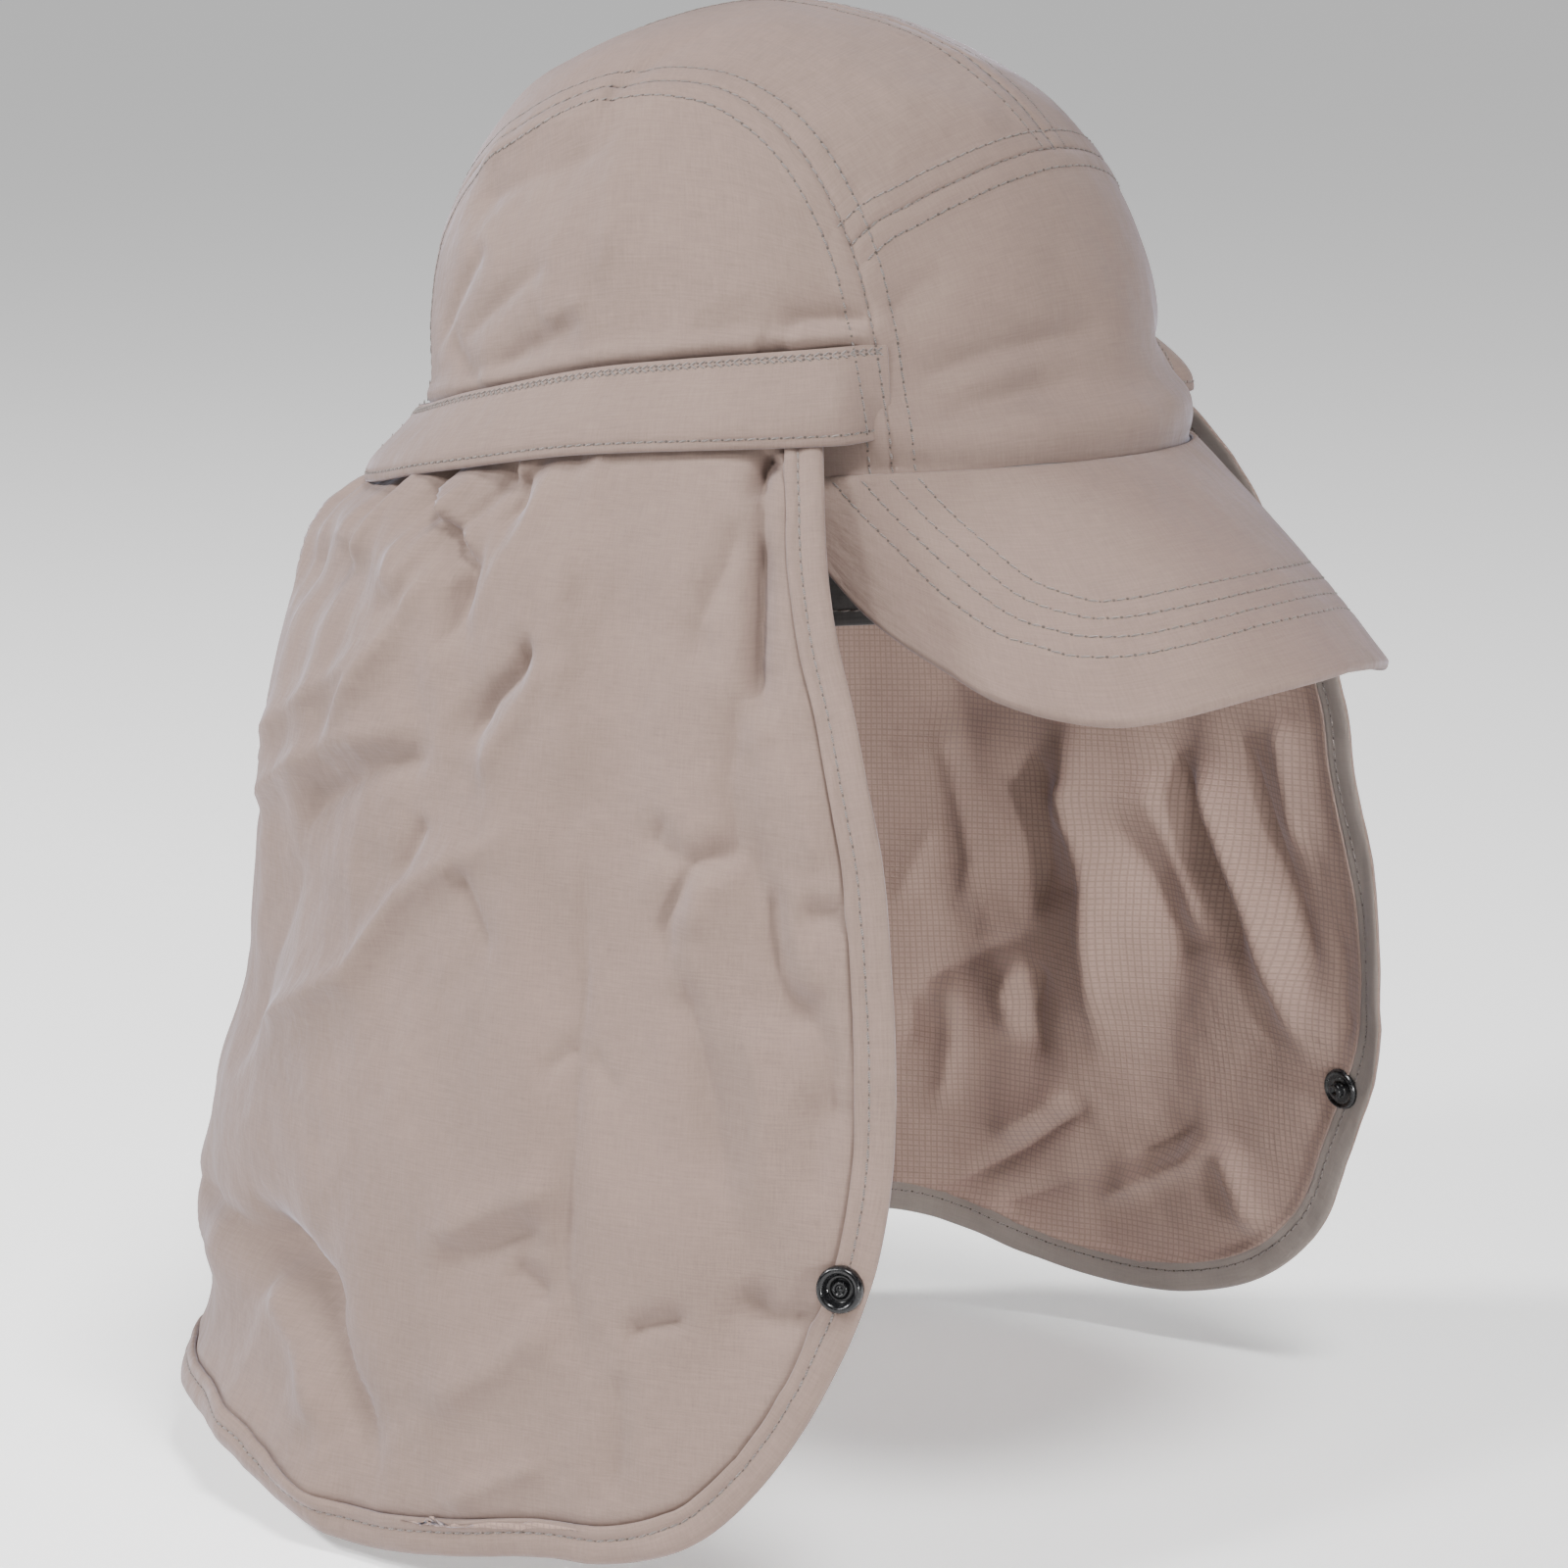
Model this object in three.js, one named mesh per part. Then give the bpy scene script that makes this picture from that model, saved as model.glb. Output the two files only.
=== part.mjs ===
// Legionnaire cap: five panel crown, curved peak, stow band, gathered neck flap with hem and snaps.
// Millimetres, +Z up, the front of the cap faces -Y and the wearer's right is -X.
import * as THREE from 'three';

// Driving dimensions in mm
const HEAD_LENGTH = 208;
const HEAD_WIDTH = 175;
const CROWN_HEIGHT = 109;
const CROWN_WALL = 1.2;
const RIM_SIDE_DIP = 2;
const RIM_BACK_DROP = 15;
const SEAM_GAP = 1;
const PEAK_LENGTH = 75;
const PEAK_WALL = 2.8;
const PEAK_ROOT_WALL = 1.3;
const PEAK_RAISE = 0.3;
const PEAK_SWELL = 14;
const PEAK_HALF_ANGLE = 66;
const PEAK_STANDOFF = 1.55;
const BAND_WALL = 1.4;
const BAND_GAP = 1.2;
const SWEATBAND_HEIGHT = 36;
const SWEATBAND_WALL = 1.2;
const SWEATBAND_GAP = 0.4;
const FLAP_WALL = 1.1;
const FLAP_DROP = 265;
const FLAP_FLARE = 76;
const FLAP_TUCK = 5;
const HEM_WIDTH = 9;
const HEM_WALL = 1.8;
const HEM_GAP = 1.3;
const SNAP_DIAMETER = 11.2;
const SNAP_HEIGHT = 3;
const CAP_HEIGHT = 1.6;

const DEG = Math.PI / 180;
const HALF_L = HEAD_LENGTH / 2;
const HALF_W = HEAD_WIDTH / 2;

// Crown profile from the rim to the top. Columns: way, height share, radius share, backward share
const PROFILE = [
  [0.0, 0.0, 1.0, 0.0],
  [0.08, 0.1, 0.966, 0.016],
  [0.16, 0.2, 0.947, 0.032],
  [0.24, 0.3, 0.934, 0.04],
  [0.34, 0.42, 0.908, 0.049],
  [0.44, 0.535, 0.862, 0.056],
  [0.55, 0.655, 0.785, 0.06],
  [0.66, 0.77, 0.68, 0.06],
  [0.75, 0.85, 0.565, 0.06],
  [0.84, 0.925, 0.41, 0.055],
  [0.92, 0.975, 0.225, 0.045],
  [1.0, 1.0, 0.0, 0.035],
  [1.08, 0.975, -0.225, 0.035],
];

// Side seam from the front rim over the top to the back rim. Columns: angle from the front, way up
const SIDE_SEAM = [
  [48, 0],
  [47.6, 0.1],
  [47.6, 0.18],
  [48.4, 0.28],
  [49.8, 0.38],
  [52.2, 0.47],
  [57, 0.575],
  [64.5, 0.655],
  [75, 0.71],
  [86, 0.727],
  [97, 0.725],
  [106, 0.7],
  [114, 0.655],
  [122, 0.61],
  [131, 0.565],
  [139, 0.51],
  [146, 0.43],
  [151, 0.33],
  [154, 0.22],
  [156, 0.11],
  [157, 0],
];
const SEAM_JOIN = 0.226;
const SIDE_CORNER_FRONT = 0.36;
const SIDE_CORNER_BACK = 0.76;

// Top edge of the front panel from the side seam to the centre. Columns: angle, way up
const FRONT_TOP = [
  [49.9, 0.388],
  [45, 0.437],
  [40, 0.466],
  [34, 0.497],
  [28, 0.52],
  [20, 0.545],
  [12, 0.56],
  [0, 0.568],
];

// Peak. Columns: angle, share of the length, slope in degrees
const PEAK = [
  [0, 1.0, 38.5],
  [15, 1.01, 40],
  [30, 1.0, 46],
  [36, 0.925, 50],
  [42, 0.807, 54],
  [46, 0.68, 58],
  [50, 0.573, 61],
  [54, 0.46, 64],
  [57, 0.353, 67],
  [62, 0.173, 71],
  [66, 0.04, 76],
];

// Height of the lower and upper edges of the band. Columns: plan angle, low, high, as shares of FLAP_TUCK
const BAND_EDGE = [
  [40, 1.6, 5.9],
  [48, 1.48, 5.8],
  [90, 0.54, 4.5],
  [120, -1.1, 2.7],
  [146, -2.7, 1.1],
  [180, -3.4, 0.4],
  [214, -2.7, 1.1],
  [240, -1.1, 2.7],
  [270, 0.54, 4.5],
  [312, 1.48, 5.8],
  [320, 1.6, 5.9],
];

// Flare of the skirt outside the rim as shares of FLAP_FLARE: one row per depth share, one column per angle
const FLARE_ANGLES = [50, 75, 100, 125, 146, 165, 180, 195, 214, 235, 260, 285, 310];
const FLARE = [
  [0.0, 0.028, 0.034, 0.034, 0.034, 0.034, 0.034, 0.034, 0.034, 0.034, 0.034, 0.034, 0.034, 0.034],
  [0.0226, 0.07, 0.079, 0.092, 0.145, 0.19, 0.19, 0.17, 0.158, 0.158, 0.132, 0.092, 0.105, 0.19],
  [0.0604, 0.2, 0.145, 0.171, 0.276, 0.355, 0.342, 0.303, 0.303, 0.303, 0.25, 0.171, 0.211, 0.36],
  [0.1358, 0.4, 0.263, 0.276, 0.382, 0.447, 0.421, 0.368, 0.382, 0.395, 0.355, 0.289, 0.355, 0.59],
  [0.2868, 0.618, 0.408, 0.395, 0.487, 0.553, 0.526, 0.474, 0.487, 0.5, 0.461, 0.421, 0.513, 0.763],
  [0.4528, 0.763, 0.539, 0.5, 0.566, 0.618, 0.592, 0.539, 0.553, 0.566, 0.539, 0.526, 0.618, 0.868],
  [0.6981, 0.868, 0.671, 0.632, 0.711, 0.82, 0.76, 0.684, 0.697, 0.711, 0.671, 0.645, 0.697, 0.882],
  [1.0, 1.0, 0.789, 0.75, 0.816, 0.895, 0.855, 0.789, 0.803, 0.816, 0.776, 0.75, 0.803, 1.0],
];

// Folds of the flap. Columns: plan angle at the top and at the bottom, from and to depth share, half width, height
const FOLDS = [
  [112, 104, 0.0, 0.35, 3.2, 2.4],
  [121, 118, 0.0, 0.3, 3.0, 2.2],
  [130, 131, 0.0, 0.45, 3.4, 2.6],
  [139, 143, 0.0, 0.6, 3.6, 2.8],
  [96, 84, 0.05, 0.9, 6.0, 2.2],
  [80, 70, 0.1, 0.8, 5.0, -2.0],
  [62, 61, 0.3, 1.0, 4.5, -2.6],
  [152, 156, 0.0, 1.1, 5.0, 3.2],
  [168, 170, 0.0, 1.1, 5.0, -2.8],
  [183, 186, 0.0, 1.1, 5.0, 3.0],
  [199, 203, 0.0, 1.1, 5.0, -2.6],
  [222, 218, 0.0, 1.1, 5.0, 3.2],
  [240, 236, 0.0, 1.0, 5.0, -3.0],
  [258, 252, 0.0, 1.1, 4.6, 4.2],
  [276, 268, 0.1, 1.0, 4.8, -3.0],
  [290, 280, 0.1, 1.0, 4.2, 3.0],
];

// Outer edge of the neck flap from the right front over the bottom to the left front. Columns: plan angle, depth
const FLAP_EDGE = [
  [53.5, -0.01],
  [53.6, 0.04],
  [53.4, 0.085],
  [52.6, 0.14],
  [51.2, 0.2],
  [50.1, 0.264],
  [48.9, 0.335],
  [48.3, 0.43],
  [48.1, 0.517],
  [48.5, 0.6],
  [49.4, 0.66],
  [50.9, 0.717],
  [53.0, 0.773],
  [56.4, 0.842],
  [60.4, 0.901],
  [64.6, 0.944],
  [69.1, 0.97],
  [75, 0.987],
  [82, 0.992],
  [93, 1.01],
  [102.4, 1.021],
  [110, 1.021],
  [118, 1.008],
  [128, 0.985],
  [141, 0.973],
  [160, 0.97],
  [180, 0.968],
  [203, 0.957],
  [228, 0.938],
  [246.4, 0.927],
  [255.6, 0.943],
  [262, 0.962],
  [269, 0.977],
  [276, 0.983],
  [283, 0.979],
  [289.3, 0.964],
  [294, 0.942],
  [298.5, 0.906],
  [302.4, 0.86],
  [305.8, 0.79],
  [309.0, 0.726],
  [311.6, 0.67],
  [312.8, 0.6],
  [312.3, 0.52],
  [310.6, 0.45],
  [309.0, 0.38],
  [308.6, 0.3],
  [307.8, 0.2],
  [306.8, 0.1],
  [306.2, -0.01],
];

// Snap places. Columns: plan angle, share of the drop
const SNAP_RIGHT = [52.9, 0.706];
const SNAP_LEFT = [306.1, 0.7117];
// Snap sections. Columns: radius share, height share
const SOCKET_SECTION = [
  [0, 0.35],
  [0.13, 0.35],
  [0.18, 0.55],
  [0.3, 0.55],
  [0.36, 0.3],
  [0.6, 0.3],
  [0.7, 0.92],
  [0.86, 1],
  [0.97, 0.8],
  [1, 0.35],
  [0.96, 0],
  [0, 0],
];
const STUD_SECTION = [
  [0, 0.85],
  [0.16, 0.85],
  [0.2, 1],
  [0.36, 1],
  [0.38, 0.3],
  [0.78, 0.3],
  [0.86, 0.5],
  [0.97, 0.42],
  [1, 0.15],
  [0.96, 0],
  [0, 0],
];
const CAP_SECTION = [
  [0, 1],
  [0.5, 0.94],
  [0.85, 0.6],
  [1, 0.2],
  [0.96, 0],
  [0, 0],
];

const CLOTH = new THREE.MeshStandardMaterial({ color: 0xa6988c, roughness: 0.8 });
const GREY = new THREE.MeshStandardMaterial({ color: 0x55524f, roughness: 0.9 });
const BLACK = new THREE.MeshStandardMaterial({ color: 0x101012, roughness: 0.25 });

// Smooth reading of a table whose first column is the key
function slopeAt(rows, i, c) {
  const a = rows[Math.max(i - 1, 0)];
  const b = rows[Math.min(i + 1, rows.length - 1)];
  return (b[c] - a[c]) / (b[0] - a[0]);
}
function read(rows, key, c) {
  const last = rows.length - 1;
  const x = Math.min(Math.max(key, rows[0][0]), rows[last][0]);
  let i = 0;
  while (i < last - 1 && rows[i + 1][0] <= x) {
    i += 1;
  }
  const h = rows[i + 1][0] - rows[i][0];
  const u = (x - rows[i][0]) / h;
  const p = (1 + 2 * u) * (1 - u) * (1 - u) * rows[i][c];
  const q = u * u * (3 - 2 * u) * rows[i + 1][c];
  const r = u * (1 - u) * (1 - u) * h * slopeAt(rows, i, c);
  const s = u * u * (u - 1) * h * slopeAt(rows, i + 1, c);
  return p + q + r + s;
}
function smooth(from, to, x) {
  const u = Math.min(Math.max((x - from) / (to - from), 0), 1);
  return u * u * (3 - 2 * u);
}

// Smooth curve through points of the plane, read by its share of the length
function curve(points) {
  const keys = [0];
  for (let i = 1; i < points.length; i += 1) {
    const step = Math.hypot(points[i][0] - points[i - 1][0], points[i][1] - points[i - 1][1]);
    keys.push(keys[i - 1] + step);
  }
  const total = keys[keys.length - 1];
  const rows = points.map((p, i) => [keys[i] / total, p[0], p[1]]);
  return (u) => [read(rows, u, 1), read(rows, u, 2)];
}
function part(fn, from, to) {
  return (u) => fn(from + (to - from) * u);
}

// Sheet patch between four curves: low and high run along a, left and right run along b
function patch(low, high, left, right) {
  const p00 = low(0);
  const p10 = low(1);
  const p01 = high(0);
  const p11 = high(1);
  return (a, b) => [0, 1].map((k) => {
    const edges = (1 - b) * low(a)[k] + b * high(a)[k] + (1 - a) * left(b)[k] + a * right(b)[k];
    const near = (1 - a) * (1 - b) * p00[k] + a * (1 - b) * p10[k];
    return edges - near - (1 - a) * b * p01[k] - a * b * p11[k];
  });
}

// Crown surface read on a disc: the rim is its edge and the top is its centre
function rimHeight(t) {
  const back = (1 - Math.cos(t)) / 2;
  return -RIM_SIDE_DIP * Math.sin(t) ** 2 - RIM_BACK_DROP * back * back;
}
function onDisc(angle, way) {
  return [(1 - way) * Math.sin(angle * DEG), (1 - way) * Math.cos(angle * DEG)];
}
function crown(p, q) {
  const rho = Math.hypot(p, q);
  const t = Math.atan2(p, q);
  const high = read(PROFILE, 1 - rho, 1);
  const wide = read(PROFILE, 1 - rho, 2);
  const back = read(PROFILE, 1 - rho, 3);
  const x = -HALF_W * wide * Math.sin(t);
  const y = HALF_L * back - HALF_L * wide * Math.cos(t);
  return new THREE.Vector3(x, y, CROWN_HEIGHT * high + rimHeight(t) * (1 - high) ** 3);
}

// Skirt surface of the flap: plan angle in degrees and depth below the front rim
function rimRadius(psi) {
  return 1 / Math.hypot(Math.sin(psi * DEG) / HALF_W, Math.cos(psi * DEG) / HALF_L);
}
function bandLow(psi) {
  return read(BAND_EDGE, psi, 1) * FLAP_TUCK;
}
function bandHigh(psi) {
  return read(BAND_EDGE, psi, 2) * FLAP_TUCK;
}
function flare(psi, depth) {
  const share = Math.max(depth, 0) / FLAP_DROP;
  const rows = FLARE.map((r) => [r[0], read(FLARE_ANGLES.map((a, i) => [a, r[i + 1]]), psi, 1)]);
  let fold = 0;
  for (const [top, low, from, to, wide, high] of FOLDS) {
    const way = (share - from) / (to - from);
    const line = top + (low - top) * way;
    const gone = smooth(from, from + 0.08, share) * (1 - smooth(from + (to - from) * 0.6, to, share));
    fold += high * gone * Math.exp(-(((psi - line) / wide) ** 2));
  }
  return FLAP_FLARE * read(rows, share, 1) + fold * smooth(0.02, 0.1, share);
}
function skirt(psi, drop) {
  const depth = drop + bandLow(psi) + FLAP_TUCK;
  const r = rimRadius(psi) + flare(psi, depth);
  return new THREE.Vector3(-r * Math.sin(psi * DEG), -r * Math.cos(psi * DEG), -drop);
}

// Outward normal of a surface of two numbers
function normalOf(surface, u, v, step, axis) {
  const du = surface(u + step, v).sub(surface(u - step, v));
  const dv = surface(u, v + step).sub(surface(u, v - step));
  const n = du.cross(dv).normalize();
  const out = surface(u, v).sub(axis);
  return n.dot(out) < 0 ? n.negate() : n;
}

// Closed sheet over a grid: place(a, b) gives a point and its outward normal, inner and outer its faces
function sheet(name, material, across, along, place, inner, outer, loop = false) {
  const rows = along + 1;
  const columns = loop ? across : across + 1;
  const positions = [];
  for (const side of [outer, inner]) {
    for (let i = 0; i < columns; i += 1) {
      for (let j = 0; j < rows; j += 1) {
        const [point, normal] = place(i / across, j / along);
        const at = point.clone().addScaledVector(normal, side(i / across, j / along));
        positions.push(at.x, at.y, at.z);
      }
    }
  }
  const count = columns * rows;
  const index = [];
  const quad = (a, b, c, d) => index.push(a, b, c, a, c, d);
  const at = (i, j) => (i % columns) * rows + j;
  for (let i = 0; i < across; i += 1) {
    for (let j = 0; j < along; j += 1) {
      const [a, b, c, d] = [at(i, j), at(i + 1, j), at(i + 1, j + 1), at(i, j + 1)];
      quad(a, b, c, d);
      quad(count + a, count + d, count + c, count + b);
    }
    quad(at(i + 1, 0), at(i, 0), count + at(i, 0), count + at(i + 1, 0));
    quad(at(i, along), at(i + 1, along), count + at(i + 1, along), count + at(i, along));
  }
  if (!loop) {
    for (let j = 0; j < along; j += 1) {
      quad(at(0, j), at(0, j + 1), count + at(0, j + 1), count + at(0, j));
      quad(at(across, j + 1), at(across, j), count + at(across, j), count + at(across, j + 1));
    }
  }
  return meshOf(name, material, positions, index);
}
function meshOf(name, material, positions, index) {
  const p = (k) => new THREE.Vector3(positions[3 * k], positions[3 * k + 1], positions[3 * k + 2]);
  let volume = 0;
  for (let i = 0; i < index.length; i += 3) {
    volume += p(index[i]).dot(p(index[i + 1]).cross(p(index[i + 2])));
  }
  const turned = [];
  for (let i = 0; i < index.length; i += 3) {
    turned.push(index[i], index[i + 2], index[i + 1]);
  }
  const geometry = new THREE.BufferGeometry();
  geometry.setAttribute('position', new THREE.Float32BufferAttribute(positions, 3));
  geometry.setIndex(volume < 0 ? turned : index);
  geometry.computeVertexNormals();
  const mesh = new THREE.Mesh(geometry, material);
  mesh.name = name;
  return mesh;
}

const cap = new THREE.Group();
cap.name = 'legionnaire_cap';

// Crown panels
const CROWN_AXIS = new THREE.Vector3(0, 0, -60);
const DISC_STEP = 0.004;
const DISC_MM = 150;
const inset = (SEAM_GAP / 2) / DISC_MM;
function mirrored(fn) {
  return (u) => [-fn(u)[0], fn(u)[1]];
}
const seam = curve(SIDE_SEAM.map(([t, way]) => onDisc(t, way)));
const frontTop = curve(FRONT_TOP.map(([t, way]) => onDisc(t, way)));
const join = seam(SEAM_JOIN);
const topStart = frontTop(0);
const frontTopMet = (u) => {
  const [p, q] = frontTop(u);
  const pull = (1 - u) ** 4;
  return [p + (join[0] - topStart[0]) * pull, q + (join[1] - topStart[1]) * pull];
};
function rimArc(from, to) {
  return (u) => onDisc(from + (to - from) * u, 0);
}
function crownPanel(name, across, along, area, width, height) {
  const ia = inset * DISC_MM / width;
  const ib = inset * DISC_MM / height;
  return sheet(name, CLOTH, across, along, (a, b) => {
    const [p, q] = area(ia + (1 - 2 * ia) * a, ib + (1 - 2 * ib) * b);
    return [crown(p, q), normalOf(crown, p, q, DISC_STEP, CROWN_AXIS)];
  }, () => 0, () => CROWN_WALL);
}
const seamFront = part(seam, 0, SEAM_JOIN);
const frontTopWhole = (u) => (u < 0.5 ? frontTopMet(2 * u) : mirrored(frontTopMet)(2 - 2 * u));
const frontArea = patch(rimArc(48, -48), frontTopWhole, seamFront, mirrored(seamFront));
cap.add(crownPanel('front_panel', 20, 8, frontArea, 150, 60));
for (const [side, turn] of [['right', (f) => f], ['left', mirrored]]) {
  const flip = side === 'left' ? -1 : 1;
  const centreFrom = frontTopMet(1)[1];
  const centre = (u) => [0, centreFrom + (-1 - centreFrom) * u];
  const fronting = turn((u) => frontTopMet(1 - u));
  const topSeam = turn(part(seam, SEAM_JOIN, 1));
  const topArea = patch(fronting, rimArc(180 * flip, 157 * flip), centre, topSeam);
  cap.add(crownPanel(`top_panel_${side}`, 5, 28, topArea, 42, 240));
  const rise = turn(part(seam, 0, SIDE_CORNER_FRONT));
  const roof = turn(part(seam, SIDE_CORNER_FRONT, SIDE_CORNER_BACK));
  const fall = turn(part(seam, 1, SIDE_CORNER_BACK));
  const sideArea = patch(rimArc(48 * flip, 157 * flip), roof, rise, fall);
  cap.add(crownPanel(`side_panel_${side}`, 20, 8, sideArea, 150, 80));
}

// Sweatband: a ring inside the rim that hangs below it
cap.add(sheet('sweatband', GREY, 48, 1, (a, b) => {
  const t = 2 * Math.PI * a;
  const normal = new THREE.Vector3(-Math.sin(t) * HALF_L, -Math.cos(t) * HALF_W, 0).normalize();
  const point = new THREE.Vector3(-HALF_W * Math.sin(t), -HALF_L * Math.cos(t), 0);
  point.addScaledVector(normal, -SWEATBAND_GAP - 0.4 * b);
  point.z = rimHeight(t) + 0.1 - SWEATBAND_HEIGHT * (1 - b);
  return [point, normal];
}, () => -SWEATBAND_WALL, () => 0, true));

// Peak: it leaves the rim of the front panel and slopes down, steeper toward its ends
cap.add(sheet('peak', CLOTH, 30, 6, (a, b) => {
  const top = (u, w) => {
    const t = u * PEAK_HALF_ANGLE * DEG;
    const turned = new THREE.Vector3(-Math.sin(t) * HALF_L * 0.62, -Math.cos(t) * HALF_W, 0).normalize();
    const length = PEAK_LENGTH * read(PEAK, Math.abs(u) * PEAK_HALF_ANGLE, 1);
    const slope = (read(PEAK, Math.abs(u) * PEAK_HALF_ANGLE, 2) + 6 * (w - 0.5)) * DEG;
    const point = new THREE.Vector3(-HALF_W * Math.sin(t), -HALF_L * Math.cos(t), rimHeight(t) + PEAK_RAISE);
    point.addScaledVector(turned, PEAK_STANDOFF + length * w * Math.cos(slope));
    point.z -= length * w * Math.sin(slope);
    return point;
  };
  const u = 2 * a - 1;
  const reach = Math.min(Math.max(u, -0.98), 0.98);
  return [top(u, b), normalOf(top, reach, Math.max(b, 0.02), 0.01, new THREE.Vector3(0, 0, -90))];
}, (a, b) => {
  const way = PEAK_LENGTH * read(PEAK, Math.abs(2 * a - 1) * PEAK_HALF_ANGLE, 1) * b;
  return -PEAK_ROOT_WALL - (PEAK_WALL - PEAK_ROOT_WALL) * smooth(0, PEAK_SWELL, way);
}, () => 0));

// Stow band: from the crown above down to its flared lower edge
const FLAP_AXIS = new THREE.Vector3(0, 0, -100);
cap.add(sheet('flap_band', CLOTH, 50, 3, (a, b) => {
  const strip = (u, v) => {
    const psi = 46 + 268 * u;
    const t = Math.atan2(HALF_L * Math.sin(psi * DEG), HALF_W * Math.cos(psi * DEG));
    const z = bandHigh(psi) + (bandLow(psi) - bandHigh(psi)) * v;
    let way = 0;
    while (way < 0.4 && CROWN_HEIGHT * read(PROFILE, way, 1) + rimHeight(t) * (1 - read(PROFILE, way, 1)) ** 3 < z) {
      way += 0.002;
    }
    const wall = crown((1 - way) * Math.sin(t), (1 - way) * Math.cos(t));
    const rest = Math.hypot(wall.x, wall.y) + CROWN_WALL + BAND_GAP + BAND_WALL / 2;
    const stand = rimRadius(psi) + flare(psi, FLAP_TUCK) + FLAP_WALL / 2 + BAND_GAP + BAND_WALL / 2;
    const ends = smooth(46, 52, psi) * smooth(314, 308, psi);
    const low = Math.hypot(wall.x, wall.y) < stand ? stand : rest;
    const r = rest + (low - rest) * ends * smooth(-0.12, 1, v) ** 1.1;
    return new THREE.Vector3(-r * Math.sin(psi * DEG), -r * Math.cos(psi * DEG), z);
  };
  return [strip(a, b), normalOf(strip, Math.min(Math.max(a, 0.01), 0.99), b, 0.01, FLAP_AXIS)];
}, () => -BAND_WALL / 2, () => BAND_WALL / 2));

// Neck flap and its hem share the skirt surface and the outer edge line
const edge = curve(FLAP_EDGE.map(([psi, share]) => [psi * 2.3, share * FLAP_DROP]));
const SKIRT_STEP = 0.4;
function skirtNormal(psi, drop) {
  return normalOf(skirt, psi, drop, SKIRT_STEP, FLAP_AXIS);
}
function inward(u, distance) {
  const [k0, d0] = edge(Math.max(u - 0.004, 0));
  const [k1, d1] = edge(Math.min(u + 0.004, 1));
  const [k, drop] = edge(u);
  const psi = k / 2.3;
  const along = skirt(k1 / 2.3, d1).sub(skirt(k0 / 2.3, d0)).normalize();
  const into = along.cross(skirtNormal(psi, drop)).normalize();
  const ps = skirt(psi + SKIRT_STEP, drop).sub(skirt(psi - SKIRT_STEP, drop)).divideScalar(2 * SKIRT_STEP);
  const dr = skirt(psi, drop + SKIRT_STEP).sub(skirt(psi, drop - SKIRT_STEP)).divideScalar(2 * SKIRT_STEP);
  const [pp, dd, pd] = [ps.dot(ps), dr.dot(dr), ps.dot(dr)];
  const [wp, wd] = [into.dot(ps), into.dot(dr)];
  const det = pp * dd - pd * pd;
  const stepPsi = (wp * dd - wd * pd) / det;
  const stepDrop = (wd * pp - wp * pd) / det;
  return [psi + stepPsi * distance, drop + stepDrop * distance];
}
const LINE_STEPS = 120;
const FLAP_ROWS = 16;
const FLAP_COLUMNS = 60;
const EDGE_CORNER_RIGHT = 0.292;
const EDGE_CORNER_LEFT = 0.712;
function rowWay(b) {
  return b ** 1.2;
}
// The hem and the flap stop at the same places along the edge
const stops = [];
for (let j = 0; j < FLAP_ROWS; j += 1) {
  stops.push(EDGE_CORNER_RIGHT * rowWay(j / FLAP_ROWS));
}
for (let i = 0; i < FLAP_COLUMNS; i += 1) {
  stops.push(EDGE_CORNER_RIGHT + (EDGE_CORNER_LEFT - EDGE_CORNER_RIGHT) * (i / FLAP_COLUMNS));
}
for (let j = FLAP_ROWS; j >= 0; j -= 1) {
  stops.push(1 - (1 - EDGE_CORNER_LEFT) * rowWay(j / FLAP_ROWS));
}
const inside = inward(0.5, 1)[1] < edge(0.5)[1] ? 1 : -1;
const hemSteps = stops.length - 1;
cap.add(sheet('flap_hem', CLOTH, hemSteps, 2, (a, b) => {
  const [psi, drop] = inward(stops[Math.round(a * hemSteps)], inside * HEM_WIDTH * b);
  return [skirt(psi, drop), skirtNormal(psi, drop)];
}, () => -HEM_WALL / 2, () => HEM_WALL / 2));

const lineRows = [];
for (let i = 0; i <= LINE_STEPS; i += 1) {
  const [psi, drop] = inward(i / LINE_STEPS, inside * (HEM_WIDTH + HEM_GAP));
  lineRows.push([i / LINE_STEPS, psi, drop]);
}
const line = (u) => [read(lineRows, u, 1), read(lineRows, u, 2)];
const topRight = line(0)[0];
const topLeft = line(1)[0];
const topLine = (u) => {
  const psi = topRight + (topLeft - topRight) * u;
  return [psi, -bandLow(psi) - FLAP_TUCK];
};
const rightFront = (u) => {
  const [psi, drop] = line(EDGE_CORNER_RIGHT * rowWay(u));
  return [psi, drop + (topLine(0)[1] - line(0)[1]) * (1 - u) ** 8];
};
const leftFront = (u) => {
  const [psi, drop] = line(1 - (1 - EDGE_CORNER_LEFT) * rowWay(u));
  return [psi, drop + (topLine(1)[1] - line(1)[1]) * (1 - u) ** 8];
};
const flapArea = patch(topLine, part(line, EDGE_CORNER_RIGHT, EDGE_CORNER_LEFT), rightFront, leftFront);
cap.add(sheet('neck_flap', CLOTH, FLAP_COLUMNS, FLAP_ROWS, (a, b) => {
  const [psi, drop] = flapArea(a, b);
  return [skirt(psi, drop), skirtNormal(psi, drop)];
}, () => -FLAP_WALL / 2, () => FLAP_WALL / 2));

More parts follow.
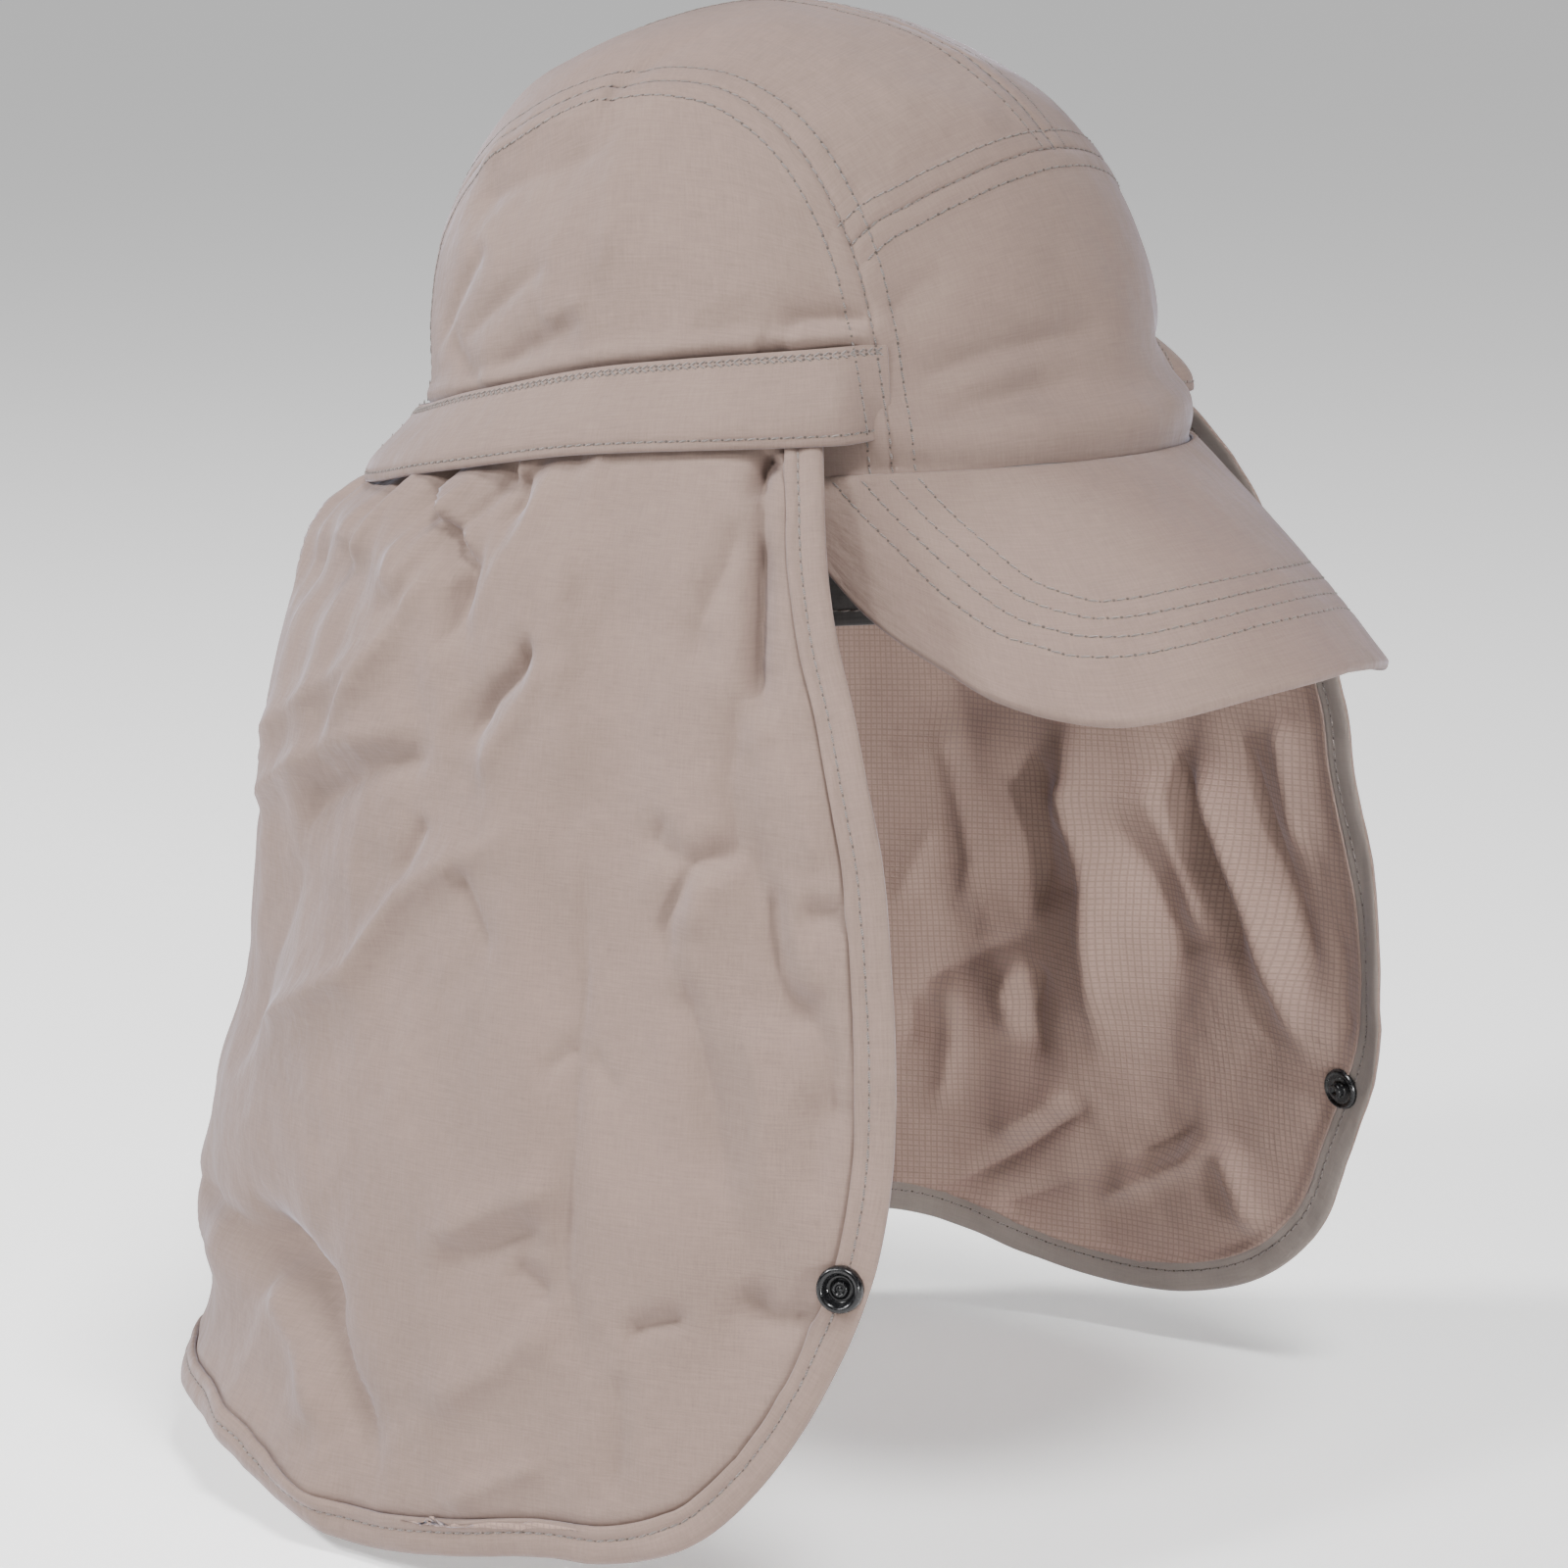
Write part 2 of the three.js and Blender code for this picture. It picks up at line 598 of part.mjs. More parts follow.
// Snaps: the working half on one face, a plain cap on the other
function snap(name, section, height, place, face) {
  const geometry = new THREE.LatheGeometry(
    section.map(([r, h]) => new THREE.Vector2(Math.max(r, 1e-6) * SNAP_DIAMETER / 2, h * height)),
    16,
  );
  const drop = place[1] * FLAP_DROP;
  const normal = skirtNormal(place[0], drop).multiplyScalar(face);
  const lift = HEM_WALL / 2 + 0.6;
  const at = skirt(place[0], drop).addScaledVector(normal, lift);
  const turn = new THREE.Quaternion().setFromUnitVectors(new THREE.Vector3(0, 1, 0), normal);
  const source = geometry.attributes.position;
  const rings = section.length;
  const positions = [];
  const index = [];
  const put = (k) => {
    const v = new THREE.Vector3(source.getX(k), source.getY(k), source.getZ(k));
    v.applyQuaternion(turn).add(at);
    positions.push(v.x, v.y, v.z);
    return positions.length / 3 - 1;
  };
  const first = put(0);
  const last = put(rings - 1);
  const ids = [];
  for (let i = 0; i < 16; i += 1) {
    const ring = [first];
    for (let j = 1; j < rings - 1; j += 1) {
      ring.push(put(i * rings + j));
    }
    ring.push(last);
    ids.push(ring);
  }
  for (let i = 0; i < 16; i += 1) {
    const [here, next] = [ids[i], ids[(i + 1) % 16]];
    for (let j = 0; j < rings - 1; j += 1) {
      if (j > 0) {
        index.push(here[j], next[j], next[j + 1]);
      }
      if (j < rings - 2) {
        index.push(here[j], next[j + 1], here[j + 1]);
      }
    }
  }
  return meshOf(name, BLACK, positions, index);
}
cap.add(snap('snap_socket_right', SOCKET_SECTION, SNAP_HEIGHT, SNAP_RIGHT, 1));
cap.add(snap('snap_cap_right', CAP_SECTION, CAP_HEIGHT, SNAP_RIGHT, -1));
cap.add(snap('snap_stud_left', STUD_SECTION, SNAP_HEIGHT, SNAP_LEFT, -1));
cap.add(snap('snap_cap_left', CAP_SECTION, CAP_HEIGHT, SNAP_LEFT, 1));

export default cap;
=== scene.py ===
"""Legionnaire cap in sun cloth: panelled crown, curved peak, stow band, gathered neck flap, hem and snaps.

The front of the cap faces -Y and the wearer's right is -X. The maths works in millimetres.
"""
import math

import bpy
import numpy as np
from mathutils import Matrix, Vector
from mathutils.bvhtree import BVHTree


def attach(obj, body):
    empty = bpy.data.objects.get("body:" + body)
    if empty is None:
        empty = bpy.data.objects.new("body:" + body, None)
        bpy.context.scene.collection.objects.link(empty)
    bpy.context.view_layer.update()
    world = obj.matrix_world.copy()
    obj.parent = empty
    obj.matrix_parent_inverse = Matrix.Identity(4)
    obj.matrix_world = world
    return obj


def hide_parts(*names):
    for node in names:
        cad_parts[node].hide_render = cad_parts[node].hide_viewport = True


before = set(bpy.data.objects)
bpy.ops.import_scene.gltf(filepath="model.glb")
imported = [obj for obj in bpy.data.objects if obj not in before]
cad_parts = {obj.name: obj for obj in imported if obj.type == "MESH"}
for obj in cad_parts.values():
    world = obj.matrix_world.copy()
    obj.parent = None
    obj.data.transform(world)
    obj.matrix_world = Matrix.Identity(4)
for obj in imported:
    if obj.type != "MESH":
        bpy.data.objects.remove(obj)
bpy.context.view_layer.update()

MM = 0.001
LATTICE, LATTICE_SHIFT = 97, 1000.5
UP, FLAT, MIRROR = np.array([0, 0, 1]), np.array([1, 1, 0]), np.array([-1, 1])

# Driving sizes in mm, as in the part's source
HEAD_LENGTH = 208
HEAD_WIDTH = 175
CROWN_HEIGHT = 109
CROWN_WALL = 1.2
RIM_SIDE_DIP = 2
RIM_BACK_DROP = 15
PEAK_LENGTH = 75
PEAK_WALL = 2.8
PEAK_HALF_ANGLE = 66
PEAK_STANDOFF = 1.3
PEAK_FORWARD = 0.62
BAND_WALL = 1.3
BAND_GAP = 0.9
BAND_START = 43.2
SWEATBAND_HEIGHT = 36
SWEATBAND_WALL = 1.2
FLAP_WALL = 0.9
FLAP_DROP = 265
FLAP_FLARE = 76
FLAP_TUCK = 5
HEM_WIDTH = 9.6
HEM_WALL = 2.0
SNAP_DIAMETER = 11.6
SNAP_HEIGHT = 3.2
SNAP_TURNS = 56

# Lengths in mm that stand for a degree of plan angle on the flap and on the crown
EDGE_SCALE = 2.3
CROWN_SCALE = 1.6
CROWN_ROUND_OFF = 1.6

HALF_L = HEAD_LENGTH / 2
HALF_W = HEAD_WIDTH / 2
HEM_INNER_LINE = HEM_WIDTH - 0.9
HEM_STITCHES_IN = 6.2
SNAP_CAP_HEIGHT = 1.7
STITCH_PITCH = 3.2
ALLOWANCE = 5.5
ALLOWANCE_RISE = 0.38
SEAM_GROOVE, SEAM_GROOVE_WIDTH = 0.42, 0.75
ROW_GROOVE = 0.22
PEAK_ROW_GROOVE = 0.24
HEM_GROOVE, HEM_GROOVE_WIDTH = 1.1, 2.0
RIPSTOP_PITCH = 1.8
SPECKLE = 0.24

# Stitches, and the dark beads of painted shade at the needle holes: length, width and height in mm
SEAM_STITCH = (2.5, 0.6, 0.42)
PEAK_STITCH = (2.6, 0.6, 0.42)
BAND_STITCH = (2.0, 0.58, 0.42)
HEM_STITCH = (2.35, 0.62, 0.45)
HOLE_SHADE_SIZE = (0.75, 0.75, 0.16)
THREAD_RISE = 0.18

# Profile of the crown. Columns: share of the way up, height, half width and shift to the back as shares
PROFILE = [
    (0.0, 0.0, 1.0, 0.0), (0.08, 0.1, 0.966, 0.016), (0.16, 0.2, 0.947, 0.032),
    (0.24, 0.3, 0.934, 0.04), (0.34, 0.42, 0.908, 0.049), (0.44, 0.535, 0.862, 0.056),
    (0.55, 0.655, 0.785, 0.06), (0.66, 0.77, 0.68, 0.06), (0.75, 0.85, 0.565, 0.06),
    (0.84, 0.925, 0.41, 0.055), (0.92, 0.975, 0.225, 0.045), (1.0, 1.0, 0.0, 0.035),
    (1.08, 0.975, -0.225, 0.035),
]
# Seams on the disc of the crown. Columns: plan angle, share of the way up
RIM_FRONT, RIM_BACK = 48, 157
SIDE_SEAM = [
    (RIM_FRONT, 0), (47.6, 0.1), (47.6, 0.18), (48.4, 0.28), (49.8, 0.38), (52.2, 0.47), (57, 0.575),
    (64.5, 0.655), (75, 0.71), (86, 0.727), (97, 0.725), (106, 0.7), (114, 0.655), (122, 0.61),
    (131, 0.565), (139, 0.51), (146, 0.43), (151, 0.33), (154, 0.22), (156, 0.11), (RIM_BACK, 0),
]
FRONT_TOP = [
    (49.9, 0.388), (45, 0.437), (40, 0.466), (34, 0.497), (28, 0.52), (20, 0.545), (12, 0.56),
    (0, 0.568),
]
# Peak. Columns: plan angle, length share, slope in degrees
PEAK = [
    (0, 1.0, 38.5), (15, 1.01, 40), (30, 1.0, 46), (36, 0.925, 50), (42, 0.807, 54), (46, 0.68, 58),
    (50, 0.573, 61), (54, 0.46, 64), (57, 0.353, 67), (62, 0.173, 71), (66, 0.04, 76),
]
# Edges of the stow band. Columns: plan angle, lower and upper edge in shares of the tuck
BAND_EDGE = [
    (40, 1.6, 5.9), (48, 1.48, 5.8), (90, 0.54, 4.5), (120, -1.1, 2.7), (146, -2.7, 1.1),
    (180, -3.4, 0.4), (214, -2.7, 1.1), (240, -1.1, 2.7), (270, 0.54, 4.5), (312, 1.48, 5.8),
    (320, 1.6, 5.9),
]
FLARE_ANGLES = [50, 75, 100, 125, 146, 165, 180, 195, 214, 235, 260, 285, 310]
# Share of the drop, then the share of the full flare at each of the angles above
FLARE = [
    (0.0, 0.028, 0.034, 0.034, 0.034, 0.034, 0.034, 0.034, 0.034, 0.034, 0.034, 0.034, 0.034, 0.034),
    (0.0226, 0.07, 0.079, 0.092, 0.145, 0.19, 0.19, 0.17, 0.158, 0.158, 0.132, 0.092, 0.105, 0.19),
    (0.0604, 0.2, 0.145, 0.171, 0.276, 0.355, 0.342, 0.303, 0.303, 0.303, 0.25, 0.171, 0.211, 0.36),
    (0.1358, 0.4, 0.263, 0.276, 0.382, 0.447, 0.421, 0.368, 0.382, 0.395, 0.355, 0.289, 0.355, 0.59),
    (0.2868, 0.618, 0.408, 0.395, 0.487, 0.553, 0.526, 0.474, 0.487, 0.5, 0.461, 0.421, 0.513, 0.763),
    (0.4528, 0.763, 0.539, 0.5, 0.566, 0.618, 0.592, 0.539, 0.553, 0.566, 0.539, 0.526, 0.618, 0.868),
    (0.6981, 0.868, 0.671, 0.632, 0.711, 0.82, 0.76, 0.684, 0.697, 0.711, 0.671, 0.645, 0.697, 0.882),
    (1.0, 1.0, 0.789, 0.75, 0.816, 0.895, 0.855, 0.789, 0.803, 0.816, 0.776, 0.75, 0.803, 1.0),
]
# Outer edge of the flap. Columns: plan angle, share of the drop
FLAP_EDGE = [
    (53.4, -0.036), (53.6, 0.04), (53.4, 0.085), (52.6, 0.14), (51.2, 0.2), (50.1, 0.264),
    (48.9, 0.335), (48.3, 0.43), (48.1, 0.517), (48.5, 0.6), (49.4, 0.66), (50.9, 0.717),
    (53.0, 0.773), (56.4, 0.842), (60.4, 0.901), (64.6, 0.944), (69.1, 0.97), (75, 0.987),
    (82, 0.992), (93, 1.01), (102.4, 1.021), (110, 1.021), (118, 1.008), (128, 0.985), (141, 0.973),
    (160, 0.97), (180, 0.968), (203, 0.957), (228, 0.938), (246.4, 0.927), (255.6, 0.943),
    (262, 0.962), (269, 0.977), (276, 0.983), (283, 0.979), (289.3, 0.964), (294, 0.942),
    (298.5, 0.906), (302.4, 0.86), (305.8, 0.79), (309.0, 0.726), (311.6, 0.67), (312.8, 0.6),
    (312.3, 0.52), (310.6, 0.45), (309.0, 0.38), (308.6, 0.3), (307.8, 0.2), (306.8, 0.1),
    (306.2, -0.036),
]
# Main folds. Columns: plan angle at top and foot, start and end share, width in degrees, height in mm
FOLDS = [
    (112, 104, 0.0, 0.35, 3.2, 2.4), (121, 118, 0.0, 0.3, 3.0, 2.2),
    (130, 131, 0.0, 0.45, 3.4, 2.6), (139, 143, 0.0, 0.6, 3.6, 2.8), (96, 84, 0.05, 0.9, 6.0, 2.2),
    (80, 70, 0.1, 0.8, 5.0, -2.0), (62, 61, 0.3, 1.0, 4.5, -2.6), (152, 156, 0.0, 1.1, 5.0, 3.2),
    (168, 170, 0.0, 1.1, 5.0, -2.8), (183, 186, 0.0, 1.1, 5.0, 3.0),
    (199, 203, 0.0, 1.1, 5.0, -2.6), (222, 218, 0.0, 1.1, 5.0, 3.2),
    (240, 236, 0.0, 1.0, 5.0, -3.0), (258, 252, 0.0, 1.1, 4.6, 4.2),
    (276, 268, 0.1, 1.0, 4.8, -3.0), (290, 280, 0.1, 1.0, 4.2, 3.0),
]

# Creases of the flap. Columns: line of plan angle and drop in mm, half width in mm, height in mm
CREASES = [
    # under the band on the right
    ([(120, 7), (110, 16), (104, 27)], 3.0, 5.2),
    ([(103, 3), (101, 11), (104, 18)], 4.0, -5.4),
    ([(123, 11), (112, 18), (106, 28), (106, 40), (109, 50)], 4.0, -5.9),
    ([(118, 12), (118, 25), (117, 38)], 4.5, 3.3),
    ([(109, 23), (112, 34), (116, 47), (120, 59), (127, 78)], 3.5, 3.7),
    ([(117, 48), (125, 58), (136, 71), (146, 84)], 4.0, 3.2),
    ([(92, 39), (94, 51), (98, 58), (102, 72)], 3.5, -5.4),
    ([(88, 44), (94, 62), (99, 80)], 4.0, 3.0),
    ([(107, 67), (123, 74), (137, 89), (148, 103)], 4.5, 4.2),
    ([(105, 72), (116, 78), (128, 91), (133, 108)], 5.0, -4.6),
    ([(103, 1), (106, 8), (109, 17), (110, 30)], 5.5, -5.0),
    ([(120, 0), (119, 10), (116, 24)], 5.0, -5.0),
    ([(131, 0), (133, 10), (136, 24)], 6.0, -4.5),
    ([(111, 4), (114, 22), (117, 40)], 3.0, 3.0),
    ([(126, 3), (127, 16), (130, 34)], 3.5, 3.2),
    ([(96, 1), (98, 20), (104, 44)], 6.0, 2.6),
    # beside the right front hem
    ([(61.5, -2), (61.6, 20), (61.4, 44), (61, 66)], 2.4, -4.2),
    ([(60, -4), (62, 2), (62, 8)], 3.0, -7.7),
    ([(61, 12), (61, 30), (61, 45), (60, 60)], 3.0, -5.4),
    ([(64, 8), (66, 22), (69, 36), (66, 50)], 6.0, -4.1),
    ([(63, 49), (64, 71), (63, 93)], 3.5, -3.6),
    ([(61, 46), (61, 71), (61, 92)], 4.0, 3.2),
    ([(59, 60), (56, 77), (55, 92)], 3.5, 2.5),
    ([(61, 86), (68, 91), (71, 106), (70, 121)], 3.0, -4.7),
    ([(62, 92), (67, 97), (68, 110)], 3.0, 2.9),
    ([(59, 91), (59, 105), (58, 118), (56, 132)], 3.0, -5.1),
    ([(57, 90), (57, 105), (55, 122)], 3.0, 2.4),
    ([(70, 112), (67, 132), (65, 150), (63, 176)], 5.0, -5.1),
    ([(62, 120), (60, 150), (61, 180)], 6.0, 3.7),
    ([(57, 116), (54, 133), (53, 156)], 3.0, -4.6),
    ([(56, 140), (55, 155), (55, 172)], 3.0, -3.1),
    ([(57, 100), (52, 100)], 2.5, -3.0),
    ([(71, 80), (73, 87), (68, 90)], 3.0, -3.0),
    ([(54, 196), (59, 197), (63, 190)], 4.0, -5.1),
    ([(61.3, 58), (61.2, 82), (60.4, 104)], 3.0, -3.4),
    # middle and foot of the right side
    ([(108, 216), (124, 209), (140, 205), (162, 206)], 11.0, -9.5),
    ([(122, 34), (148, 24), (176, 30)], 12.0, -4.7),
    ([(128, 96), (138, 140), (142, 176)], 14.0, -4.1),
    ([(90, 12), (88, 44), (84, 84)], 12.0, 2.9),
    ([(82, 88), (81, 122), (81, 158), (81, 193), (78, 214), (76, 226)], 3.0, -2.8),
    ([(81, 137), (86, 147)], 2.5, -2.3),
    ([(80, 139), (75, 149)], 2.5, -2.3),
    ([(81, 170), (91, 181), (101, 193)], 4.0, 3.3),
    ([(83, 180), (90, 190), (99, 196)], 6.0, -3.5),
    ([(88, 192), (85, 196), (82, 201)], 2.5, -3.1),
    ([(81, 203), (89, 219), (98, 234)], 6.0, 3.7),
    ([(137, 196), (122, 208), (113, 223), (106, 240), (101, 258)], 6.0, -6.9),
    ([(128, 214), (117, 230), (110, 249)], 7.0, 4.8),
    ([(74, 205), (70, 201), (66, 198)], 2.5, -3.9),
    ([(74, 212), (74, 231), (74, 248)], 2.5, -2.3),
    ([(81, 238), (89, 248), (96, 257)], 4.0, 2.9),
    ([(89, 86), (103, 101), (108, 108), (111, 117), (115, 130), (126, 142), (142, 159)], 4.0, 4.8),
    ([(101, 97), (97, 109), (93, 122)], 2.5, -2.4),
    ([(107, 88), (110, 107)], 2.5, -2.4),
    ([(106, 263), (122, 259), (138, 250)], 8.0, 4.5),
    # back
    ([(158, 4), (155, 22), (150, 48)], 4.0, 4.8),
    ([(166, 3), (168, 24), (172, 60)], 4.5, -5.9),
    ([(176, 4), (178, 30), (184, 70)], 4.0, 5.2),
    ([(190, 3), (190, 24), (186, 52)], 4.0, -5.4),
    ([(203, 4), (206, 30), (212, 66)], 4.5, 4.8),
    ([(214, 3), (217, 20), (222, 44)], 4.0, -5.1),
    ([(150, 84), (166, 110), (186, 124)], 5.0, 3.7),
    ([(214, 92), (196, 118), (170, 150), (160, 188)], 5.0, -5.1),
    ([(178, 160), (196, 190), (208, 224)], 5.0, 4.2),
    ([(150, 176), (164, 206), (170, 240)], 5.0, -4.6),
    ([(228, 120), (220, 160), (222, 204)], 5.0, 3.7),
    # left side, whose inside shows: a ridge seen from inside has a negative height
    ([(273, 92), (273, 123), (275, 141), (275, 166), (274, 200)], 7.0, -8.1),
    ([(268, 100), (268, 128), (267, 155)], 9.0, 5.2),
    ([(273, 110), (270, 125)], 2.5, -2.4),
    ([(277, 118), (281, 136), (285, 153), (283, 172)], 6.0, 3.4),
    ([(281, 105), (285, 132), (290, 158)], 6.0, -3.9),
    ([(284, 92), (288, 120), (292, 142), (295, 166)], 5.0, 5.4),
    ([(288, 96), (294, 132), (299, 161), (303, 188)], 4.5, -7.4),
    ([(294, 85), (298, 120), (301, 147), (304, 174)], 3.5, 4.0),
    ([(300, 84), (301, 108), (302, 130)], 3.5, -3.5),
    ([(253, 90), (256, 115), (258, 138), (255, 160)], 9.0, -6.3),
    ([(253, 127), (247, 154)], 3.0, -2.4),
    ([(249, 178), (258, 166), (266, 158)], 3.0, 2.9),
    ([(253, 172), (254, 192), (252, 219)], 4.0, -4.2),
    ([(249, 178), (249, 198)], 3.0, 3.2),
    ([(263, 166), (261, 179), (263, 192)], 4.0, -4.2),
    ([(267, 164), (265, 181), (266, 199)], 4.0, 4.0),
    ([(273, 206), (267, 216), (261, 227), (253, 239)], 2.5, 4.0),
    ([(270, 203), (264, 214), (258, 222)], 4.0, -3.5),
    ([(270, 231), (259, 243)], 3.0, 2.5),
    ([(291, 211), (281, 225), (271, 237)], 3.5, -4.6),
    ([(290, 211), (292, 226), (294, 240)], 3.5, -4.2),
    ([(288, 207), (278, 221), (268, 233)], 5.0, 2.5),
    ([(306, 142), (307, 168), (306, 182)], 2.0, 1.9),
    ([(246, 4), (243, 20), (238, 46)], 4.0, 3.4),
    ([(254, 4), (257, 24), (262, 50)], 4.0, -4.2),
]

# How far the flap hangs out at its back right turn, or in where negative. Columns: drop and height in mm
SIDE_TRIM = [
    (0, 0), (24, 1), (36, -5.5), (48, -2.3), (72, -2), (84, -2.8), (96, -4.3), (110, -2.2), (132, -2.8),
    (144, -4.1), (168, -3.3), (180, -3.3), (192, -2.2), (204, 0.8), (216, -0.9), (228, -6.5), (240, -6.4),
    (252, -1.4), (265, 0),
]
SIDE_TRIM_TURN, SIDE_TRIM_SPREAD = 150, 22
FAR_TRIM, FAR_TRIM_TURN, FAR_TRIM_SPREAD = 5.0, 306, 16
FAR_TRIM_DROP, FAR_TRIM_REACH = 28, 30

# Creases of the crown. Columns: line of plan angle from the front and height in mm, half width, height in mm
CROWN_CREASES = [
    ([(61, 35), (51, 36), (43, 35)], 2.2, -2.4),
    ([(60, 31), (50, 32), (42, 31)], 3.0, 1.4),
    ([(43, 35), (38, 42), (32, 49)], 3.0, -2.0),
    ([(41, 20), (31, 25), (23, 28), (14, 30), (0, 32)], 3.5, -2.7),
    ([(38, 16), (28, 21), (16, 25)], 4.0, 1.5),
    ([(40, 8), (30, 14), (22, 17), (10, 19)], 4.0, -2.8),
    ([(64, 30), (58, 27)], 2.5, -1.4),
    ([(96, 35), (109, 27), (124, 15)], 3.5, -2.4),
    ([(96, 39), (110, 31)], 4.0, 1.3),
    ([(107, 48), (121, 35), (133, 23)], 3.5, -2.2),
    ([(127, 52), (134, 36), (141, 20)], 3.5, -2.4),
    ([(141, 57), (122, 67), (105, 74), (98, 81)], 7.0, -3.6),
    ([(144, 66), (124, 78), (108, 83), (103, 90)], 5.0, 2.8),
    ([(112, 86), (109, 92), (111, 97)], 6.0, -1.2),
    ([(100, 73), (95, 58), (95, 40)], 4.0, 1.1),
    ([(137, 27), (128, 18), (120, 13)], 3.0, -2.0),
    ([(-62, 33), (-51, 35), (-42, 33)], 2.4, -2.2),
    ([(-40, 18), (-28, 24), (-12, 27)], 3.6, -2.2),
    ([(-96, 30), (-112, 24), (-126, 12)], 3.6, -2.2),
    ([(-84, 60), (-104, 66), (-128, 60)], 6.0, -2.8),
    ([(-118, 44), (-132, 30), (-142, 16)], 3.6, -2.2),
    ([(160, 52), (172, 36), (178, 14)], 4.0, -2.1),
    ([(-158, 56), (-170, 34)], 4.0, -2.0),
]

# Shares of the way along the side seam and along the flap's edge line where other lines meet them
SEAM_JOIN = 0.226
SIDE_CORNER_FRONT = 0.36
SIDE_CORNER_BACK = 0.76
EDGE_CORNER_RIGHT = 0.292
EDGE_CORNER_LEFT = 0.712

# Snaps: plan angle and share of the drop
SNAP_RIGHT = (52.9, 0.706)
SNAP_LEFT = (306.1, 0.7117)


# Reading of tables, soft steps and noise
def slopes(keys, values):
    """Slope at each row of a table, whose rows are the first axis."""
    steps = keys.reshape(-1, *[1] * (values.ndim - 1))
    slope = np.zeros_like(values)
    slope[1:-1] = (values[2:] - values[:-2]) / (steps[2:] - steps[:-2])
    slope[0] = (values[1] - values[0]) / (keys[1] - keys[0])
    slope[-1] = (values[-1] - values[-2]) / (keys[-1] - keys[-2])
    return slope


def find_row(keys, key):
    """Row before a key, the share of the way to the next row, and the step between the two."""
    x = np.clip(np.asarray(key, float), keys[0], keys[-1])
    i = np.clip(np.searchsorted(keys, x, side="right") - 1, 0, len(keys) - 2)
    span = keys[i + 1] - keys[i]
    return i, (x - keys[i]) / span, span


def between(u, span, start, start_slope, end, end_slope):
    """Smooth curve between two values with the given slopes."""
    first = (1 + 2 * u) * (1 - u) ** 2 * start + u * (1 - u) ** 2 * span * start_slope
    return first + u * u * (3 - 2 * u) * end + u * u * (u - 1) * span * end_slope


def read(rows, key):
    """Smooth reading of a table by its first column. The other columns come back on the last axis."""
    table = np.asarray(rows, float)
    keys, values = table[:, 0], table[:, 1:]
    slope = slopes(keys, values)
    i, u, span = find_row(keys, key)
    return between(u[..., None], span[..., None], values[i], slope[i], values[i + 1], slope[i + 1])


def smooth(low, high, x):
    u = np.clip((x - low) / (high - low), 0, 1)
    return u * u * (3 - 2 * u)


def bell(x, width):
    return np.exp(-((x / width) ** 2))


def away_from_front(psi, low, high):
    """Rises from 0 to 1 between two plan angles, and the same on the other side."""
    return smooth(low, high, psi) * smooth(360 - low, 360 - high, psi)


def noise(x, y, size, seed):
    """Soft random field from -1 to 1 whose features have the given size."""
    n = LATTICE
    lattice = np.random.default_rng(seed).uniform(-1, 1, (n, n))
    gx, gy = np.asarray(x, float) / size + LATTICE_SHIFT, np.asarray(y, float) / size + LATTICE_SHIFT
    ix, iy = np.floor(gx).astype(int), np.floor(gy).astype(int)
    fx, fy = gx - ix, gy - iy
    fx, fy = fx * fx * (3 - 2 * fx), fy * fy * (3 - 2 * fy)
    a, b = lattice[ix % n, iy % n], lattice[(ix + 1) % n, iy % n]
    c, d = lattice[ix % n, (iy + 1) % n], lattice[(ix + 1) % n, (iy + 1) % n]
    return (a + (b - a) * fx) * (1 - fy) + (c + (d - c) * fx) * fy


def ridges(x, y, size, seed):
    """Random net of sharp ridges between soft hollows, from -1 to 1."""
    return 1 - 2.6 * np.abs(noise(x, y, size, seed))


def crease(x, y, line, width, height, round_off=0.9):
    """Fold along a line of points in mm: sharp on its ridge, soft on its sides, fading at both ends."""
    points = np.asarray(line, float)
    best = np.full(np.shape(x), 1e9)
    way = np.zeros(np.shape(x))
    lengths = np.hypot(*(points[1:] - points[:-1]).T)
    total = lengths.sum()
    done = 0.0
    for (x0, y0), (x1, y1), length in zip(points[:-1], points[1:], lengths):
        u = np.clip(((x - x0) * (x1 - x0) + (y - y0) * (y1 - y0)) / length ** 2, 0, 1)
        far = np.hypot(x - x0 - u * (x1 - x0), y - y0 - u * (y1 - y0))
        closer = far < best
        way = np.where(closer, (done + u * length) / total, way)
        best = np.minimum(best, far)
        done += length
    ends = smooth(0, 0.22, way) * smooth(1, 0.7, way)
    return height * ends * np.exp(-(np.sqrt(best ** 2 + round_off ** 2) - round_off) / width)


def curve(points):
    """Smooth curve through points of the plane, read by its share of the length."""
    points = np.asarray(points, float)
    keys = np.concatenate([[0], np.cumsum(np.hypot(*(points[1:] - points[:-1]).T))])
    rows = np.column_stack([keys / keys[-1], points])
    return lambda u: read(rows, u)


def part(line, low, high):
    return lambda u: line(low + (high - low) * u)


def patch(low, high, left, right):
    """Sheet patch between four curves: low and high run along a, left and right run along b."""
    def area(a, b):
        a1, b1 = a[..., None], b[..., None]
        edges = (1 - b1) * low(a) + b1 * high(a) + (1 - a1) * left(b) + a1 * right(b)
        zero, one = np.zeros(1), np.ones(1)
        corners = (1 - a1) * (1 - b1) * low(zero)[0] + a1 * (1 - b1) * low(one)[0]
        return edges - corners - (1 - a1) * b1 * high(zero)[0] - a1 * b1 * high(one)[0]
    return area


def unit(v):
    return v / np.maximum(np.linalg.norm(v, axis=-1, keepdims=True), 1e-9)


def grid(count, steps, low=0.0, high=1.0):
    return np.meshgrid(np.linspace(low, high, count), np.linspace(0, 1, steps), indexing="ij")


